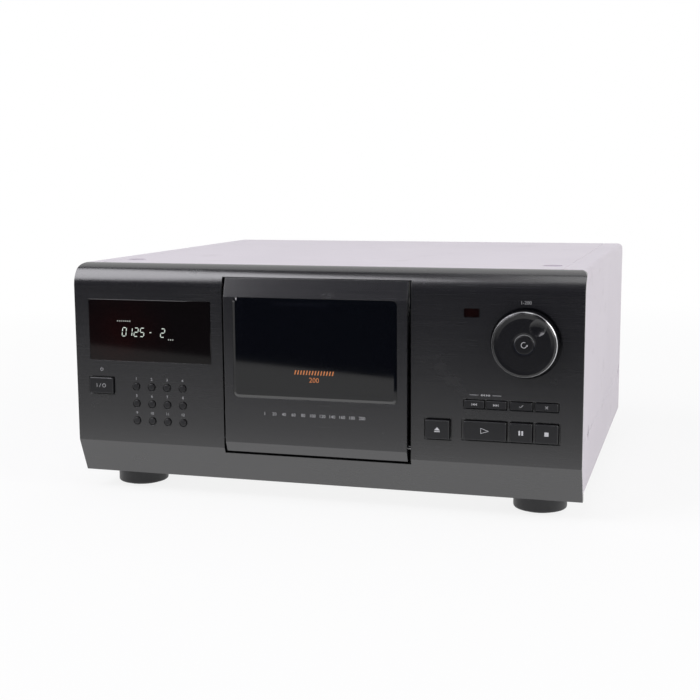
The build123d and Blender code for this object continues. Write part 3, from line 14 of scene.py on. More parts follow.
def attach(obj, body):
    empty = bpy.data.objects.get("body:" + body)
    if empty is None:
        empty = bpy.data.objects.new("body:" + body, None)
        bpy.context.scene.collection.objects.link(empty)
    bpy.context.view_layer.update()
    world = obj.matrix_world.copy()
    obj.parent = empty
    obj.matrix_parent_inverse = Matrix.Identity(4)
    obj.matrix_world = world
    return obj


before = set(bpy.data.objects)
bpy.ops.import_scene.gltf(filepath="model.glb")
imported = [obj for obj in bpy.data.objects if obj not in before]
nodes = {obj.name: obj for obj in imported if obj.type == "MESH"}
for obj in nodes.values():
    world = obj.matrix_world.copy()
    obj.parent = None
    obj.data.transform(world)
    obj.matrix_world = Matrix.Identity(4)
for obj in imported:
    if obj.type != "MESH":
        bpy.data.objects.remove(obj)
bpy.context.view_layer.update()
print("parts loaded:", len(nodes))

# %% [markdown]
# ## Sizes that the printing needs
# Heights on the front are counted from the panel's bottom edge, as on a maker's drawing. One function turns
# such a drawing place, in millimetres, into metres in the model.

# %% Drawing places to metres
MM = 0.001
FOOT = 15.5                      # the panel's bottom edge above the table
FACE_Y = -188.0                  # the panel's flat face
DOOR_Y = FACE_Y - 3.0            # the door's flat face
LENS_Y = DOOR_Y - 0.8            # the front of the door's window
DISPLAY_Y = FACE_Y - 0.3         # the front of the display window
ENTER_Y = FACE_Y - 11.9          # the front of the enter key
INK = 0.03                       # how far a print stands off its face


def metres(x, y, h):
    """A drawing place as an array in metres: across, depth and height above the panel's bottom edge."""
    return np.array([x, y, h + FOOT]) * MM


print("front face", FACE_Y, "mm, door", DOOR_Y, "mm, its window", LENS_Y, "mm")


# %% [markdown]
# ## The camera
# The photograph was taken from a little above and from the right. A camera is three things here: where it
# stands, where it looks, and how long its lens is. The place and the lens were worked out from the case's
# known corners, so the model falls on the photograph without any shift of the lens.

# %% Camera
AZIMUTH, ELEVATION, ROLL = np.radians([16.53, 8.20, -0.33])
STAND = metres(303.67, FACE_Y - 922.55, 254.34)
PICTURE, FOCAL = 700, 1214.53    # the picture's width and the focal length, in pixels
SENSOR = 36.0                    # millimetres

camera_data = bpy.data.cameras.new("camera")
camera_data.sensor_width = SENSOR
camera_data.lens = FOCAL / PICTURE * SENSOR
camera = bpy.data.objects.new("camera", camera_data)
bpy.context.scene.collection.objects.link(camera)
ahead = np.array([-math.sin(AZIMUTH) * math.cos(ELEVATION),
                  math.cos(AZIMUTH) * math.cos(ELEVATION), -math.sin(ELEVATION)])
level = np.array([math.cos(AZIMUTH), math.sin(AZIMUTH), 0.0])
above = np.cross(level, ahead)
right = math.cos(ROLL) * level + math.sin(ROLL) * above
upward = -math.sin(ROLL) * level + math.cos(ROLL) * above
turn = Matrix([[right[i], upward[i], -ahead[i], 0] for i in range(3)] + [[0, 0, 0, 1]])
camera.matrix_world = Matrix.Translation(STAND) @ turn
camera_data.clip_start, camera_data.clip_end = 0.05, 50
bpy.context.scene.camera = camera
print("lens", round(camera_data.lens, 2), "mm, camera at", STAND.round(3))

# %% [markdown]
# ## A bench for materials
# Long node graphs are hard to read as lists of links. A small class wraps one socket and gives it Python's
# arithmetic, so `0.3 + 0.1 * grain` adds the Math nodes by itself. A second class holds one material and has
# a single method for every other kind of node.


# %% Sockets with arithmetic
class Wire:
    """One socket of a material, with arithmetic. Each operation adds one Math node."""

    def __init__(self, bench, socket):
        self.bench = bench
        self.socket = socket

    def math(self, operation, *values):
        return self.bench.node("ShaderNodeMath", {"operation": operation}, dict(enumerate(values)))

    def __add__(self, other):
        return self.math("ADD", self, other)

    def __radd__(self, other):
        return self.math("ADD", other, self)

    def __sub__(self, other):
        return self.math("SUBTRACT", self, other)

    def __rsub__(self, other):
        return self.math("SUBTRACT", other, self)

    def __mul__(self, other):
        return self.math("MULTIPLY", self, other)

    def __rmul__(self, other):
        return self.math("MULTIPLY", other, self)


# %% The bench itself
class Bench:
    """One material, or the world, under construction."""

    def __init__(self, name, world=False):
        self.material = (bpy.data.worlds if world else bpy.data.materials).new(name)
        self.material.use_nodes = True
        self.tree = self.material.node_tree
        self.tree.nodes.clear()

    def node(self, kind, settings=None, inputs=None, out=0):
        """Adds a node: its settings first, then the values or links of its sockets."""
        made = self.tree.nodes.new(kind)
        for key, value in (settings or {}).items():
            if key == "stops":
                ramp = made.color_ramp
                while len(ramp.elements) < len(value):
                    ramp.elements.new(0.5)
                for element, (place, tone) in zip(ramp.elements, value):
                    element.position = place
                    element.color = (tone, tone, tone, 1)
            else:
                setattr(made, key, value)
        for key, value in (inputs or {}).items():
            if isinstance(value, Wire):
                self.tree.links.new(value.socket, made.inputs[key])
            else:
                made.inputs[key].default_value = value
        return Wire(self, made.outputs[out]) if made.outputs else None

    def place(self, scale=(1, 1, 1), turn=(0, 0, 0), centre=(0, 0, 0)):
        """The point on the object, in metres, moved to a pattern's centre, turned and scaled."""
        here = self.node("ShaderNodeTexCoord", out=3)
        moved = self.node("ShaderNodeMapping", {"vector_type": "POINT"},
                          {"Vector": here, "Location": [-c for c in centre]})
        return self.node("ShaderNodeMapping", {"vector_type": "POINT"},
                         {"Vector": moved, "Rotation": turn, "Scale": scale})

    def noise(self, vector, scale, detail=2.0, rough=0.5):
        """Smooth random values about 0.5, with features of about 1 / scale metres."""
        return self.node("ShaderNodeTexNoise", None,
                         {"Vector": vector, "Scale": scale, "Detail": detail, "Roughness": rough})

    def ramp(self, value, *stops):
        """Passes a value through a curve given by (place, tone) stops."""
        return self.node("ShaderNodeValToRGB", {"stops": stops}, {"Fac": value})

    def blend(self, factor, first, second):
        """A colour between two others."""
        paint = {"data_type": "RGBA"}
        return self.node("ShaderNodeMix", paint, {0: factor, 6: rgba(first), 7: rgba(second)}, out=2)

    def relief(self, height, depth, strength=1.0, edge=0.0):
        """Normals of a surface that a height between 0 and 1 raises by up to depth metres.

        With an edge radius, in metres, the sharp edges look rounded, as moulded and bent ones are.
        """
        values = {"Height": height, "Distance": depth, "Strength": strength}
        if edge:
            values["Normal"] = self.node("ShaderNodeBevel", {"samples": 6}, {"Radius": edge})
        return self.node("ShaderNodeBump", None, values)

    def surface(self, **sockets):
        """Ends the material in a Principled shader. Underscores in names stand for spaces."""
        values = {key.replace("_", " "): value for key, value in sockets.items()}
        if "Base Color" in values:
            values["Base Color"] = rgba(values["Base Color"])
        shader = self.node("ShaderNodeBsdfPrincipled", None, values)
        self.node("ShaderNodeOutputMaterial", None, {"Surface": shader})
        return self.material


def rgba(colour):
    """A colour socket's value: a link stays as it is, three numbers get an alpha of 1."""
    return colour if isinstance(colour, Wire) else (*colour, 1.0)


def wear(material, *names):
    """Puts a finish on the named parts."""
    for name in names:
        part = nodes[name]
        part.data.materials.clear()
        part.data.materials.append(material)
    print(material.name, "->", ", ".join(names) if len(names) < 5 else f"{len(names)} parts")


# %% [markdown]
# ## Powder-painted steel for the case
# The cover is sheet steel with a light satin paint. Up close such paint has a fine orange-peel skin, a little
# cloudiness in its gloss and, after years on a shelf, faint handling marks. All three are noise at three
# sizes.


# %% Case paint
def satin_paint(name, colour):
    """Light paint: clouds dull the gloss by patches, marks darken it, and a fine skin gives the relief."""
    bench = Bench(name)
    clouds = bench.noise(bench.place(), 9.0, 3.0)
    marks = bench.ramp(bench.noise(bench.place((1, 1, 2.2)), 26.0, 5.0, 0.62),
                       (0.60, 0.0), (0.74, 1.0))
    skin = bench.noise(bench.place(), 1500.0, 1.0)
    tint = bench.blend(clouds, colour, [c * 0.93 for c in colour])
    worn = bench.blend(0.16 * marks, tint, (0.30, 0.28, 0.27))
    return bench.surface(Base_Color=worn, Roughness=0.36 + 0.10 * clouds + 0.06 * marks,
                         Normal=bench.relief(skin, 0.00005, 0.5), IOR=1.46)


wear(satin_paint("case_paint", (0.62, 0.572, 0.632)), "top_cover", "rear_panel")
wear(satin_paint("screw_paint", (0.50, 0.47, 0.51)), "cover_screws")

# %% [markdown]
# ## The brushed black front
# The front is a black moulding finished with fine level lines. A noise that is squeezed in height and drawn
# out in width gives such lines; they steer the gloss and make a shallow relief. The panel's rolled top has
# been touched, so it carries a few dull finger marks.


# %% Brushed black
def brushed_black(name, colour, gloss, dirty):
    """Black with level lines in tone, gloss and relief, a little dust, and smudges that dull it by dirty."""
    bench = Bench(name)
    lines = bench.noise(bench.place((14, 14, 2600)), 1.0, 3.0, 0.6)
    broad = bench.noise(bench.place((2, 2, 420)), 1.0, 2.0)
    clouds = bench.noise(bench.place(), 13.0, 3.0)
    dust = bench.ramp(bench.noise(bench.place(), 900.0, 2.0), (0.70, 0.0), (0.80, 1.0))
    smudge = bench.ramp(bench.noise(bench.place((1, 1, 1.4)), 21.0, 4.0, 0.6),
                        (0.62, 0.0), (0.70, 1.0))
    tone = bench.blend(lines, [c * 0.65 for c in colour], [c * 1.5 for c in colour])
    dusty = bench.blend(0.05 * dust, tone, (0.30, 0.29, 0.28))
    rough = gloss + 0.12 * (lines - 0.5) + 0.08 * (clouds - 0.5) + dirty * smudge
    return bench.surface(Base_Color=dusty, Roughness=rough, IOR=1.6, Specular_IOR_Level=1.0,
                         Normal=bench.relief(0.7 * lines + 0.3 * broad, 0.00003, 0.55, 0.0005))


wear(brushed_black("front_black", (0.0115, 0.0112, 0.0130), 0.25, 0.10), "front_panel")
wear(brushed_black("door_black", (0.0130, 0.0128, 0.0150), 0.24, 0.05), "front_door")

# %% [markdown]
# ## Keys and dial
# The keys share one satin black plastic with a fine moulded grain and slightly polished faces. The dial was
# turned, so its lines run in circles round its axis: the distance from the axis, not the height, drives them.


# %% Key plastic and turned dial
DIAL_X, DIAL_H = 170.8, 125.9
DIAL_AXIS = tuple(metres(DIAL_X, FACE_Y, DIAL_H))


def key_plastic(name, colour, gloss):
    """Black plastic with a fine grain, rubbed unevenly, with soft edges."""
    bench = Bench(name)
    grain = bench.noise(bench.place(), 2600.0, 2.0)
    rubbed = bench.noise(bench.place(), 60.0, 3.0)
    tone = bench.blend(rubbed, colour, [c * 1.35 for c in colour])
    return bench.surface(Base_Color=tone, Roughness=gloss + 0.10 * (rubbed - 0.5) + 0.05 * grain,
                         Normal=bench.relief(grain, 0.00003, 0.5, 0.0003), IOR=1.55)


def turned_plastic(name, colour, centre, gloss=0.24):
    """Black plastic with rings of tone, gloss and relief: noise of the distance from the axis."""
    bench = Bench(name)
    off_axis = bench.place((1, 0, 1), centre=centre)
    radius = bench.node("ShaderNodeVectorMath", {"operation": "LENGTH"}, {0: off_axis}, out="Value")
    rings = bench.noise(bench.node("ShaderNodeCombineXYZ", None, {"X": radius * 5200.0}), 1.0, 2.0)
    fine = bench.noise(bench.place(), 1800.0, 1.0)
    tone = bench.blend(rings, [c * 0.8 for c in colour], [c * 1.3 for c in colour])
    return bench.surface(Base_Color=tone, Roughness=gloss + 0.12 * (rings - 0.5) + 0.03 * fine,
                         Normal=bench.relief(rings, 0.00002, 0.5), IOR=1.5,
                         Coat_Weight=0.35, Coat_Roughness=0.12)


keys = [name for name in nodes
        if name.startswith("mode_button") or name.endswith("_button") and name != "enter_button"]
wear(key_plastic("key_black", (0.0105, 0.0105, 0.012), 0.30), *keys)
wear(turned_plastic("dial_black", (0.0095, 0.0095, 0.011), DIAL_AXIS), "dial")
wear(turned_plastic("enter_black", (0.009, 0.009, 0.0105), DIAL_AXIS, 0.3), "enter_button")

# %% [markdown]
# ## Windows
# Three windows look through the front: the door's smoked lens, the display's dark filter and the deep red one
# of the remote eye. Each is glossy with a trace of dust. The smoked lens lets a little light pass; the
# filters are so dark that a plain near-black body under a clear gloss looks the same and costs less.


# %% Smoked lens and filters
def smoked_lens(name, colour):
    """Dark clear plastic: a film of handling and specks of dust dull its gloss."""
    bench = Bench(name)
    film = bench.noise(bench.place(), 30.0, 4.0, 0.6)
    dust = bench.ramp(bench.noise(bench.place(), 1100.0, 2.0), (0.72, 0.0), (0.80, 1.0))
    return bench.surface(Base_Color=bench.blend(0.04 * dust, colour, (0.35, 0.35, 0.35)),
                         Roughness=0.03 + 0.03 * film + 0.2 * dust, Transmission_Weight=0.7, IOR=1.9)


def dark_filter(name, deep, glow, centre, size):
    """A near-black filter with a painted glow: a faint, cloudy red tint, strongest at its centre, fades out
    towards its edges.
    """
    bench = Bench(name)
    spot = bench.place([1 / s for s in size], centre=centre)
    away = bench.node("ShaderNodeVectorMath", {"operation": "LENGTH"}, {0: spot}, out="Value")
    near = bench.ramp(away, (0.0, 1.0), (1.0, 0.0))
    cloudy = bench.noise(bench.place(), 55.0, 3.0)
    dust = bench.ramp(bench.noise(bench.place(), 1300.0, 2.0), (0.72, 0.0), (0.80, 1.0))
    tone = bench.blend(near * cloudy, deep, glow)
    return bench.surface(Base_Color=bench.blend(0.03 * dust, tone, (0.3, 0.3, 0.3)),
                         Roughness=0.05 + 0.15 * dust, IOR=1.5)


wear(smoked_lens("smoked_lens", (0.006, 0.007, 0.010)), "door_window")
# Painted glow: each filter is lighter and redder about a centre, as if lit from behind.
GLOW_AT, EYE_AT = tuple(metres(-172, FACE_Y, 118)), tuple(metres(128.2, FACE_Y, 148.2))
wear(dark_filter("display_filter", (0.004, 0.003, 0.003), (0.014, 0.0025, 0.002), GLOW_AT,
                 (0.050, 1.0, 0.050)), "display_window")
wear(dark_filter("eye_filter", (0.005, 0.002, 0.0018), (0.013, 0.003, 0.0025), EYE_AT,
                 (0.008, 1.0, 0.005)), "sensor_window")

# %% [markdown]
# ## Feet, sheet steel and the parts inside
# What shows less still gets a true finish: grained grey plastic for the feet and the carousel, zinc-plated
# steel with its flowery crystals, bright turned steel, green-brown circuit board with its copper tracks.


# %% Moulded plastics and rubber
def moulded(name, colour, grain_size, gloss):
    """Plain plastic or rubber: a grain of the given size in metres, and slow changes of tone."""
    bench = Bench(name)
    grain = bench.noise(bench.place(), 1 / grain_size, 2.0)
    flow = bench.noise(bench.place(), 22.0, 2.0)
    tone = bench.blend(flow, [c * 0.88 for c in colour], [c * 1.12 for c in colour])
    return bench.surface(Base_Color=tone, Roughness=gloss + 0.12 * (grain - 0.5) + 0.05 * flow,
                         Normal=bench.relief(grain, 0.00005, 0.6), IOR=1.48)


wear(moulded("foot_plastic", (0.030, 0.030, 0.032), 0.0009, 0.42), "feet")
wear(moulded("pad_rubber", (0.014, 0.014, 0.014), 0.0005, 0.8), "foot_pads")
wear(moulded("carousel_grey", (0.060, 0.060, 0.064), 0.0007, 0.5),
     "carousel", "disc_combs", "carousel_base", "optical_sled", "door_damper", "dial_encoder")
wear(moulded("natural_plastic", (0.55, 0.55, 0.50), 0.0007, 0.4),
     "damper_gear", "carousel_pinion", "platter", "disc_cradle")
wear(moulded("socket_black", (0.012, 0.012, 0.012), 0.0005, 0.38),
     "control_jacks", "optical_jack", "mains_inlet", "key_switches")


# %% Metals
def zinc_plate(name, colour):
    """Plated sheet: every crystal, a cell of about 6 mm, has its own tone and gloss."""
    bench = Bench(name)
    spangle = bench.node("ShaderNodeTexVoronoi", {"feature": "F1"},
                         {"Vector": bench.place(), "Scale": 160.0}, out=1)
    flower = bench.node("ShaderNodeSeparateColor", None, {"Color": spangle})
    rolled = bench.noise(bench.place((30, 900, 900)), 1.0, 2.0)
    tone = bench.blend(0.35 * flower, colour, [c * 0.72 for c in colour])
    return bench.surface(Base_Color=tone, Metallic=0.9,
                         Roughness=0.34 + 0.12 * (flower - 0.5) + 0.08 * rolled,
                         Normal=bench.relief(rolled, 0.00002, 0.3))


def bright_steel(name, colour, gloss=0.22, along=(400, 400, 4000)):
    """Turned or polished metal with fine lines. along is how quickly they change along each axis."""
    bench = Bench(name)
    lines = bench.noise(bench.place(along), 1.0, 2.0)
    tone = bench.blend(lines, colour, [c * 0.8 for c in colour])
    return bench.surface(Base_Color=tone, Metallic=1.0, Roughness=gloss + 0.12 * (lines - 0.5),
                         Normal=bench.relief(lines, 0.00001, 0.4))


wear(zinc_plate("zinc_plate", (0.55, 0.55, 0.54)), "chassis_pan", "mechanism_frame", "pickup_base")
wear(bright_steel("turned_steel", (0.60, 0.60, 0.60)),
     "guide_rods", "hinge_pins", "clamp_arm", "spindle_motor", "carousel_motor")
wear(bright_steel("plated_jack", (0.70, 0.62, 0.42), 0.15), "phono_jacks")


# %% Circuit board, display glass and transformer
def circuit_board(name):
    """Brown board with copper tracks along the borders of random cells."""
    bench = Bench(name)
    cells = bench.node("ShaderNodeTexVoronoi", {"feature": "DISTANCE_TO_EDGE"},
                       {"Vector": bench.place(), "Scale": 210.0})
    tracks = bench.ramp(cells, (0.06, 1.0), (0.10, 0.0))
    blotch = bench.noise(bench.place(), 45.0, 3.0)
    base = bench.blend(blotch, (0.17, 0.10, 0.035), (0.23, 0.14, 0.05))
    return bench.surface(Base_Color=bench.blend(0.6 * tracks, base, (0.10, 0.16, 0.07)),
                         Roughness=0.45 + 0.1 * tracks, Normal=bench.relief(tracks, 0.00004, 0.5))


wear(circuit_board("circuit_board"), "control_boards", "main_board")
wear(moulded("tube_glass", (0.05, 0.06, 0.06), 0.002, 0.12), "display_tube")
wear(moulded("varnished_core", (0.035, 0.028, 0.024), 0.0012, 0.35), "transformer")

# %% [markdown]
# ## What is printed on it
# Prints are flat meshes a few hundredths of a millimetre in front of the face that carries them. A mark is a
# list of outlines in the plane of the front. All the marks of one ink on one body become a single mesh.


# %% Flat marks from outlines
def flat_marks(name, outlines, depth, body, paint):
    """Marks as one mesh: every outline is an array of (across, height) points, put at a depth in millimetres.

    An outline's signed area, half the sum of x[i] h[i+1] - x[i+1] h[i], tells its sense, and one that runs
    clockwise is turned round, so that all faces point forward.
    """
    points, faces, count = [], [], 0
    for outline in outlines:
        flat = np.asarray(outline, float)
        after = np.roll(flat, -1, 0)
        area = np.sum(flat[:, 0] * after[:, 1] - after[:, 0] * flat[:, 1])
        flat = flat if area > 0 else flat[::-1]
        points.append(np.column_stack([flat[:, 0], np.full(len(flat), depth), flat[:, 1] + FOOT]) * MM)
        faces.append(list(range(count, count + len(flat))))
        count += len(flat)
    mesh = bpy.data.meshes.new(name)
    mesh.from_pydata(np.concatenate(points).tolist(), [], faces)
    return as_piece(name, mesh, body, paint)


def as_piece(name, mesh, body, finish):
    """Makes a mesh into a piece that rides on a body."""
    mesh.materials.append(finish)
    piece = bpy.data.objects.new(name, mesh)
    bpy.context.scene.collection.objects.link(piece)
    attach(piece, body)
    print(name, "faces:", len(mesh.polygons))
    return piece


# %% Outlines: bars, rings, triangles
def bar(x, h, width, height, lean=0.0):
    """A rectangle about (x, h). Its top is moved sideways by lean."""
    w, t = width / 2, height / 2
    return [(x - w, h - t), (x + w, h - t), (x + w + lean, h + t), (x - w + lean, h + t)]


def triangle(x, h, width, height, way=1):
    """A triangle that points right (way 1) or left (way -1)."""
    back, tip = x - way * width / 2, x + way * width / 2
    return [(back, h - height / 2), (tip, h), (back, h + height / 2)]


def ring_quads(x, h, radius, line, start=0.0, end=360.0, pieces=24):
    """A ring or an arc of it as quads: angles run evenly, in degrees, and the radii are radius -/+ line / 2."""
    angle = np.radians(np.linspace(start, end, pieces + 1))
    unit = np.column_stack([np.cos(angle), np.sin(angle)])
    inner, outer = (np.array([x, h]) + unit * (radius + s * line / 2) for s in (-1, 1))
    return [np.array([inner[i], outer[i], outer[i + 1], inner[i + 1]]) for i in range(pieces)]


def stroke(x0, h0, x1, h1, line):
    """A straight line of some thickness from one point to another."""
    run = np.array([x1 - x0, h1 - h0])
    side = np.array([-run[1], run[0]]) / np.hypot(*run) * line / 2
    a, b = np.array([x0, h0]), np.array([x1, h1])
    return [a - side, b - side, b + side, a + side]


# %% Numbers with the built-in font
def number_at(text, x, h, height):
    """A plain number as triangles, scaled to a height and moved so that its middle is at (x, h)."""
    curve = bpy.data.curves.new("number", "FONT")
    curve.body = text
    curve.resolution_u = 3
    carrier = bpy.data.objects.new("number", curve)
    mesh = bpy.data.meshes.new_from_object(carrier)
    flat = np.empty(len(mesh.vertices) * 3, np.float32)
    mesh.vertices.foreach_get("co", flat)
    flat = flat.reshape(-1, 3)[:, :2]
    low, high = flat.min(0), flat.max(0)
    flat = (flat - (low + high) / 2) * height / (high[1] - low[1]) + (x, h)
    outlines = [flat[list(face.vertices)] for face in mesh.polygons]
    bpy.data.objects.remove(carrier)
    bpy.data.curves.remove(curve)
    bpy.data.meshes.remove(mesh)
    return outlines


# %% Inks
def ink(name, colour, glow=0.0):
    """Printed paint, thinner by specks. With glow it also shines in its own colour: a lit segment, or a painted
    glow on a print.
    """
    bench = Bench(name)
    thin = bench.noise(bench.place(), 3000.0, 2.0)
    tone = bench.blend(0.4 * thin, colour, [c * 0.75 for c in colour])
    if glow:
        return bench.surface(Base_Color=tone, Roughness=0.5, Emission_Color=rgba(colour),
                             Emission_Strength=glow)
    return bench.surface(Base_Color=tone, Roughness=0.5 + 0.1 * thin)


pale_ink = ink("pale_ink", (0.42, 0.42, 0.43))
bright_ink = ink("bright_ink", (0.60, 0.60, 0.62))
# Painted glow: the orange print on the window emits a faint light of its own, though it is only ink.
orange_ink_painted_glow = ink("orange_ink_painted_glow", (0.62, 0.20, 0.055), 0.10)
lit_digits = ink("lit_digits", (0.50, 0.56, 0.50), 0.70)
dim_digits = ink("dim_digits", (0.30, 0.32, 0.29), 0.40)

# %% [markdown]
# ## The legends on the panel
# Over the round keys stand the numbers 1 to 12. The other legends are the signs that any such player has: a
# broken ring over the standby key, the range of the slots over the dial, and arrows over the pair of skip
# keys.

# %% Panel legends
MODE_X, MODE_H, MODE_STEP_X, MODE_STEP_H = -159.4, 84.4, 14.2, 14.6
SKIP_X, SKIP_H = 139.7, 83.8

legends = []
for place in range(12):
    row, column = divmod(place, 4)
    legends += number_at(str(place + 1), MODE_X + MODE_STEP_X * column, MODE_H - MODE_STEP_H * row, 2.3)
legends += ring_quads(-191.5, 91.4, 1.25, 0.36, 125, 415) + [bar(-191.5, 92.2, 0.36, 1.9)]
legends += number_at("1-200", 170.6, 157.0, 2.6)
for side in (-1, 1):
    legends.append(bar(SKIP_X + side * 9.0, SKIP_H, 7.0, 0.35))
    legends += [triangle(SKIP_X + side * (1.3 + 1.9 * k), SKIP_H, 1.7, 1.9, side) for k in range(2)]
flat_marks("panel_legends", legends, FACE_Y - INK, "case", pale_ink)

# %% [markdown]
# ## Signs on the keys
# Each sign rides on its own key, so that it goes in with the key.


# %% Key signs
SIGN_LINE = 0.35                 # a sign's drawn lines are about this thick
PROUD = {"power": 2.2, "open": 3.4, "play": 2.4, "pause": 2.4, "stop": 2.4,
         "skip_back": 1.3, "skip_forward": 1.3, "check": 1.3, "clear": 1.3}


def key_sign(key, outlines, paint):
    """Puts a sign on a key's face, which stands proud of the panel."""
    depth = FACE_Y - PROUD[key] - INK
    flat_marks(key + "_sign", outlines, depth, key + "_key", paint)


play = [stroke(136.6, 53.7, 136.6, 58.1, SIGN_LINE), stroke(136.5, 58.0, 142.9, 55.9, SIGN_LINE),
        stroke(142.9, 55.9, 136.5, 53.8, SIGN_LINE)]
key_sign("play", play, bright_ink)
key_sign("pause", [bar(168.0 + s * 1.15, 55.8, 1.3, 3.6) for s in (-1, 1)], bright_ink)
key_sign("stop", [bar(187.8, 55.8, 3.2, 3.2)], bright_ink)
key_sign("open", [bar(102.0, 53.7, 4.6, 0.7), [(99.7, 54.7), (104.3, 54.7), (102.0, 57.3)]], bright_ink)
one_and_ring = [bar(-195.4, 77.7, 0.42, 3.2), stroke(-193.2, 76.1, -191.8, 79.3, SIGN_LINE)]
key_sign("power", one_and_ring + ring_quads(-188.7, 77.7, 1.45, 0.4), pale_ink)

# %% Signs on the four narrow keys and the enter key
for key, x, way in (("skip_back", 131.0, -1), ("skip_forward", 148.3, 1)):
    arrows = [triangle(x + way * (k * 1.9 - 1.4), 76.5, 1.8, 2.1, way) for k in range(2)]
    key_sign(key, arrows + [bar(x + way * 1.75, 76.5, 0.4, 2.1)], pale_ink)
tick = [stroke(166.4, 76.5, 167.4, 75.6, 0.4), stroke(167.3, 75.6, 169.4, 77.6, 0.4)]
cross = [stroke(186.4, 75.5, 188.4, 77.5, 0.4), stroke(186.4, 77.5, 188.4, 75.5, 0.4)]
key_sign("check", tick, pale_ink)
key_sign("clear", cross, pale_ink)
round_arrow = ring_quads(DIAL_X, DIAL_H, 2.1, 0.4, 60, 360)
round_arrow.append(triangle(DIAL_X + 2.1, DIAL_H - 0.3, 1.5, 1.5, -1))
flat_marks("enter_sign", round_arrow, ENTER_Y - INK, "enter", bright_ink)

# %% [markdown]
# ## Painted highlights on the dial
# Painted highlights: thin bright metal bands lie on the rim's rounded shoulder and on the funnel round the
# enter key, where highlights fall. Each is a short profile carried round the dial's axis: two parameters, the
# way along the profile and the angle.


# %% Painted highlight bands
SHOULDER = 22.9                  # the rim is rounded about a circle of this radius ...
ROUND_Y = FACE_Y - 9.4           # ... at this depth
ROUND = 2.6                      # ... with this radius


def turned_band(name, radii, depths, body, finish, steps=96):
    """A band round the dial's axis. Point (i, j) lies at depths[i] and at radii[i] from the axis:

    across = axis + radius * sin(2 pi j / steps), height = axis + radius * cos(2 pi j / steps).
    """
    angle = np.linspace(0, 2 * np.pi, steps, endpoint=False)
    radii, depths = np.asarray(radii)[:, None], np.asarray(depths)[:, None]
    across = DIAL_X + radii * np.sin(angle)
    height = DIAL_H + FOOT + radii * np.cos(angle)
    grid = np.stack([across, np.broadcast_to(depths, across.shape), height], -1) * MM
    rows = len(grid)
    index = np.arange(rows * steps).reshape(rows, steps)
    after = np.roll(index, -1, 1)
    quads = np.stack([index[:-1], index[1:], after[1:], after[:-1]], -1).reshape(-1, 4)
    mesh = bpy.data.meshes.new(name)
    mesh.from_pydata(grid.reshape(-1, 3).tolist(), [], quads.tolist())
    mesh.shade_smooth()
    return as_piece(name, mesh, body, finish)


# Painted highlight: bright metal rings stand in for the highlights on the dial's rounded rims.
highlight_finish = bright_steel("painted_highlight_line", (0.62, 0.62, 0.64), 0.22, (900, 900, 900))
slope = np.radians(np.linspace(42, 64, 5))
turned_band("dial_rim_highlight", SHOULDER + (ROUND + INK) * np.sin(slope), ROUND_Y - (ROUND + INK) * np.cos(slope),
            "dial", highlight_finish)
turned_band("dial_lip_highlight", (7.3, 7.9), (-198.74 - INK, -198.87 - INK), "dial", highlight_finish)

# %% [markdown]
# ## The lit display
# The display shows plain numbers in seven-segment digits. A digit has seven slim bars, and the table says
# which of them are lit. The whole digit leans a little to the right, as on the real tube. Small marks stand
# above and beside.

# %% Seven-segment digits
SEGMENTS = {"0": "abcdef", "1": "bc", "2": "abged", "5": "afgcd", "-": "g"}
DIGIT_H = 120.6                  # the digits' lower edge


def digit(text, x, width=3.5):
    """The lit bars of one digit with its lower left corner at x. Bars end short of the corners by gap."""
    height, line, slant, gap = 7.2, 0.62, 0.9, 0.16
    half = height / 2
    spots = {"a": (0, height, width, height), "g": (0, half, width, half), "d": (0, 0, width, 0),
             "f": (0, half, 0, height), "b": (width, half, width, height),
             "e": (0, 0, 0, half), "c": (width, 0, width, half)}
    bars = []
    for name in SEGMENTS[text]:
        x0, h0, x1, h1 = spots[name]
        run = np.array([x1 - x0, h1 - h0], float)
        shrink = run / np.hypot(*run) * (line / 2 + gap)
        a, b = np.array([x0, h0]) + shrink, np.array([x1, h1]) - shrink
        flat = np.array(stroke(a[0], a[1], b[0], b[1], line))
        flat[:, 0] += flat[:, 1] / height * slant
        bars.append(flat + (x, DIGIT_H))
    return bars


lit = []
for k, text in enumerate("0125"):
    lit += digit(text, -171.2 + 5.5 * k)
lit += digit("-", -146.6, 2.6) + digit("2", -135.8)
flat_marks("display_digits", lit, DISPLAY_Y - INK, "case", lit_digits)
small = [bar(-175.0 + 1.9 * k, 133.4, 0.95, 1.1, 0.2) for k in range(7)]
small += [bar(-128.4 + 1.9 * k, 118.7, 0.95, 1.1, 0.2) for k in range(3)]
flat_marks("display_marks", small, DISPLAY_Y - INK, "case", dim_digits)

# %% [markdown]
# ## Prints on the door
# The window carries an orange pictogram of discs on edge over the number 200, and below the window runs a
# scale of slot numbers, as fine as the small print of such players.

# %% Door prints
discs = [bar(-15.8 + 2.45 * k, 96.3, 0.95, 3.5, 0.9) for k in range(14)]
window_print = discs + number_at("200", 0.6, 90.4, 4.0)
flat_marks("window_print", window_print, LENS_Y - INK, "door", orange_ink_painted_glow)
scale = []
for k in range(11):
    scale += number_at(str(max(1, 20 * k)), -42.5 + 8.3 * k, 60.9, 2.6)
flat_marks("door_scale", scale, DOOR_Y - INK, "door", pale_ink)

# %% [markdown]
# ## The studio
# A pale floor and a white surround, as in a product photograph. The camera, mirrors and glass see both as
# white, and the floor keeps the shadow. Black glossy parts need something dark to reflect, so matt black
# flags stand in front and hang overhead, outside the picture, and a grey one lies before the front. The lower
# band leans over the white floor and shines, the flat face above it reflects the grey, and the windows show
# the grey's far edge. The lamp on the left draws the long highlight on the rolled top, and a small one
# overhead draws the faint one.


# %% What the camera sees of a sheet
def seen_share(bench):
    """1 for rays from the camera, from mirrors and through glass, 0 for the rays that light the object."""
    camera_ray, glossy_ray, glass_ray = (bench.node("ShaderNodeLightPath", out=f"Is {kind} Ray")
                                         for kind in ("Camera", "Glossy", "Transmission"))
    return camera_ray.math("MAXIMUM", camera_ray.math("MAXIMUM", camera_ray, glossy_ray), glass_ray)


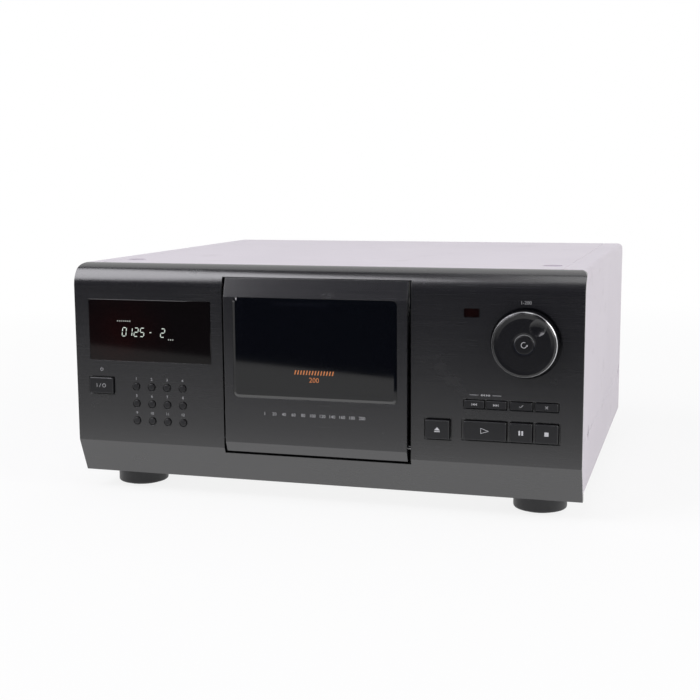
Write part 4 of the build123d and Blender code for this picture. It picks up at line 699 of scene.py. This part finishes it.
def glowing(name, tone, glow, amount):
    """A matt sheet that the camera and mirrors see as glowing: partly near the middle, wholly far away."""
    bench = Bench(name)
    paper = bench.noise(bench.place(), 3.0, 3.0)
    half_way = bench.place((0.5, 0.5, 0.5))
    away = bench.node("ShaderNodeVectorMath", {"operation": "LENGTH"}, {0: half_way}, out="Value")
    share = bench.ramp(away, (0.12, amount), (0.75, 1.0))
    cloudy = bench.blend(paper, tone, [c * 0.97 for c in tone])
    matt = bench.node("ShaderNodeBsdfDiffuse", None, {"Color": cloudy})
    light = bench.node("ShaderNodeEmission", None, {"Color": rgba(glow), "Strength": 1.0})
    sheet = bench.node("ShaderNodeMixShader", None, {0: share * seen_share(bench), 1: matt, 2: light})
    bench.node("ShaderNodeOutputMaterial", None, {"Surface": sheet})
    return bench.material


def card(name, corners, finish, flag=False):
    """A flat stage sheet from its four corners, in metres. The camera looks through a flag."""
    mesh = bpy.data.meshes.new(name)
    mesh.from_pydata([tuple(c) for c in corners], [], [(0, 1, 2, 3)])
    mesh.materials.append(finish)
    sheet = bpy.data.objects.new(name, mesh)
    bpy.context.scene.collection.objects.link(sheet)
    sheet.visible_camera = not flag
    sheet.visible_shadow = not flag
    sheet.visible_diffuse = not flag
    print("stage:", name)


# %% The floor and the flags
SPAN = 9.0                       # half the floor's side, in metres
FAR, HIGH = -2.6, 2.6            # the front flag's place and height
LOW_EDGE = ((-5.3, FAR), (0.5, -0.6))   # the line on the floor where the grey ends and the black begins

card("floor", [(-SPAN, -SPAN, 0), (SPAN, -SPAN, 0), (SPAN, SPAN, 0), (-SPAN, SPAN, 0)],
     glowing("floor_finish", (0.88, 0.88, 0.88), (1, 1, 1), 0.84))

grey = Bench("grey_flag_finish")
before = grey.node("ShaderNodeSeparateXYZ", None, {"Vector": grey.place((1, -1, 1))}, out="Y")
fading = grey.ramp(before, (0.26, 1.0), (0.46, 0.35))
glow = grey.node("ShaderNodeEmission", None, {"Color": fading})
grey.node("ShaderNodeOutputMaterial", None, {"Surface": glow})
card("grey_flag", [(-3, FAR, 0.002), (0.7, FAR, 0.002), (0.7, -0.25, 0.002), (-3, -0.25, 0.002)],
     grey.material, True)

black = glowing("flag_finish", (0.02, 0.02, 0.022), (0.010, 0.012, 0.022), 1.0)
card("low_flag", [(*LOW_EDGE[0], 0.004), (SPAN, FAR, 0.004), (SPAN, LOW_EDGE[1][1], 0.004),
                  (*LOW_EDGE[1], 0.004)], black, True)
card("front_flag", [(-4, FAR, 0), (4, FAR, 0), (4, FAR, HIGH), (-4, FAR, HIGH)], black, True)
card("top_flag", [(-3, FAR, 2.5), (3, FAR, 2.5), (3, 0.3, 2.5), (-3, 0.3, 2.5)], black, True)

# %% The surround
sky = Bench("surround", world=True)
plain = sky.node("ShaderNodeBackground", None, {"Color": (0.95, 0.96, 1.0, 1), "Strength": 0.38})
white = sky.node("ShaderNodeBackground", None, {"Color": (1, 1, 1, 1), "Strength": 1.0})
dome = sky.node("ShaderNodeMixShader", None, {0: seen_share(sky), 1: plain, 2: white})
sky.node("ShaderNodeOutputWorld", None, {"Surface": dome})
bpy.context.scene.world = sky.material
print("world:", sky.material.name)


# %% Lamps
def lamp(name, place, aim, size, power, colour=(1, 1, 1)):
    """A soft lamp at place, turned towards aim: it shines along its own -Z, and X stays level."""
    data = bpy.data.lights.new(name, "AREA")
    data.shape = "RECTANGLE"
    data.size, data.size_y = size
    data.energy = power
    data.color = colour
    holder = bpy.data.objects.new(name, data)
    bpy.context.scene.collection.objects.link(holder)
    toward = np.array(aim, float) - np.array(place, float)
    back = -toward / np.linalg.norm(toward)
    across = np.cross((0, 0, 1), back)
    across = across / np.linalg.norm(across)
    top = np.cross(back, across)
    rows = [[across[i], top[i], back[i], place[i]] for i in range(3)]
    holder.matrix_world = Matrix(rows + [[0, 0, 0, 1]])
    print("lamp:", name, power, "W")


lamp("over_left", (-1.30, -1.10, 1.75), (-0.1, 0, 0.1), (1.5, 1.7), 31.0, (0.97, 0.955, 1.0))
lamp("over_right", (1.9, -0.4, 1.2), (0.1, 0, 0.1), (1.2, 1.2), 18.5, (1.0, 0.985, 0.97))
lamp("overhead", (0.24, -0.60, 1.9), (0.2, -0.1, 0.0), (0.6, 1.1), 4.0)

# %% [markdown]
# ## Colours as they are
# The Standard view shows a colour as it is written. Nothing that was added may stand outside the solids.

# %% View and the end
bpy.context.scene.view_settings.view_transform = "Standard"
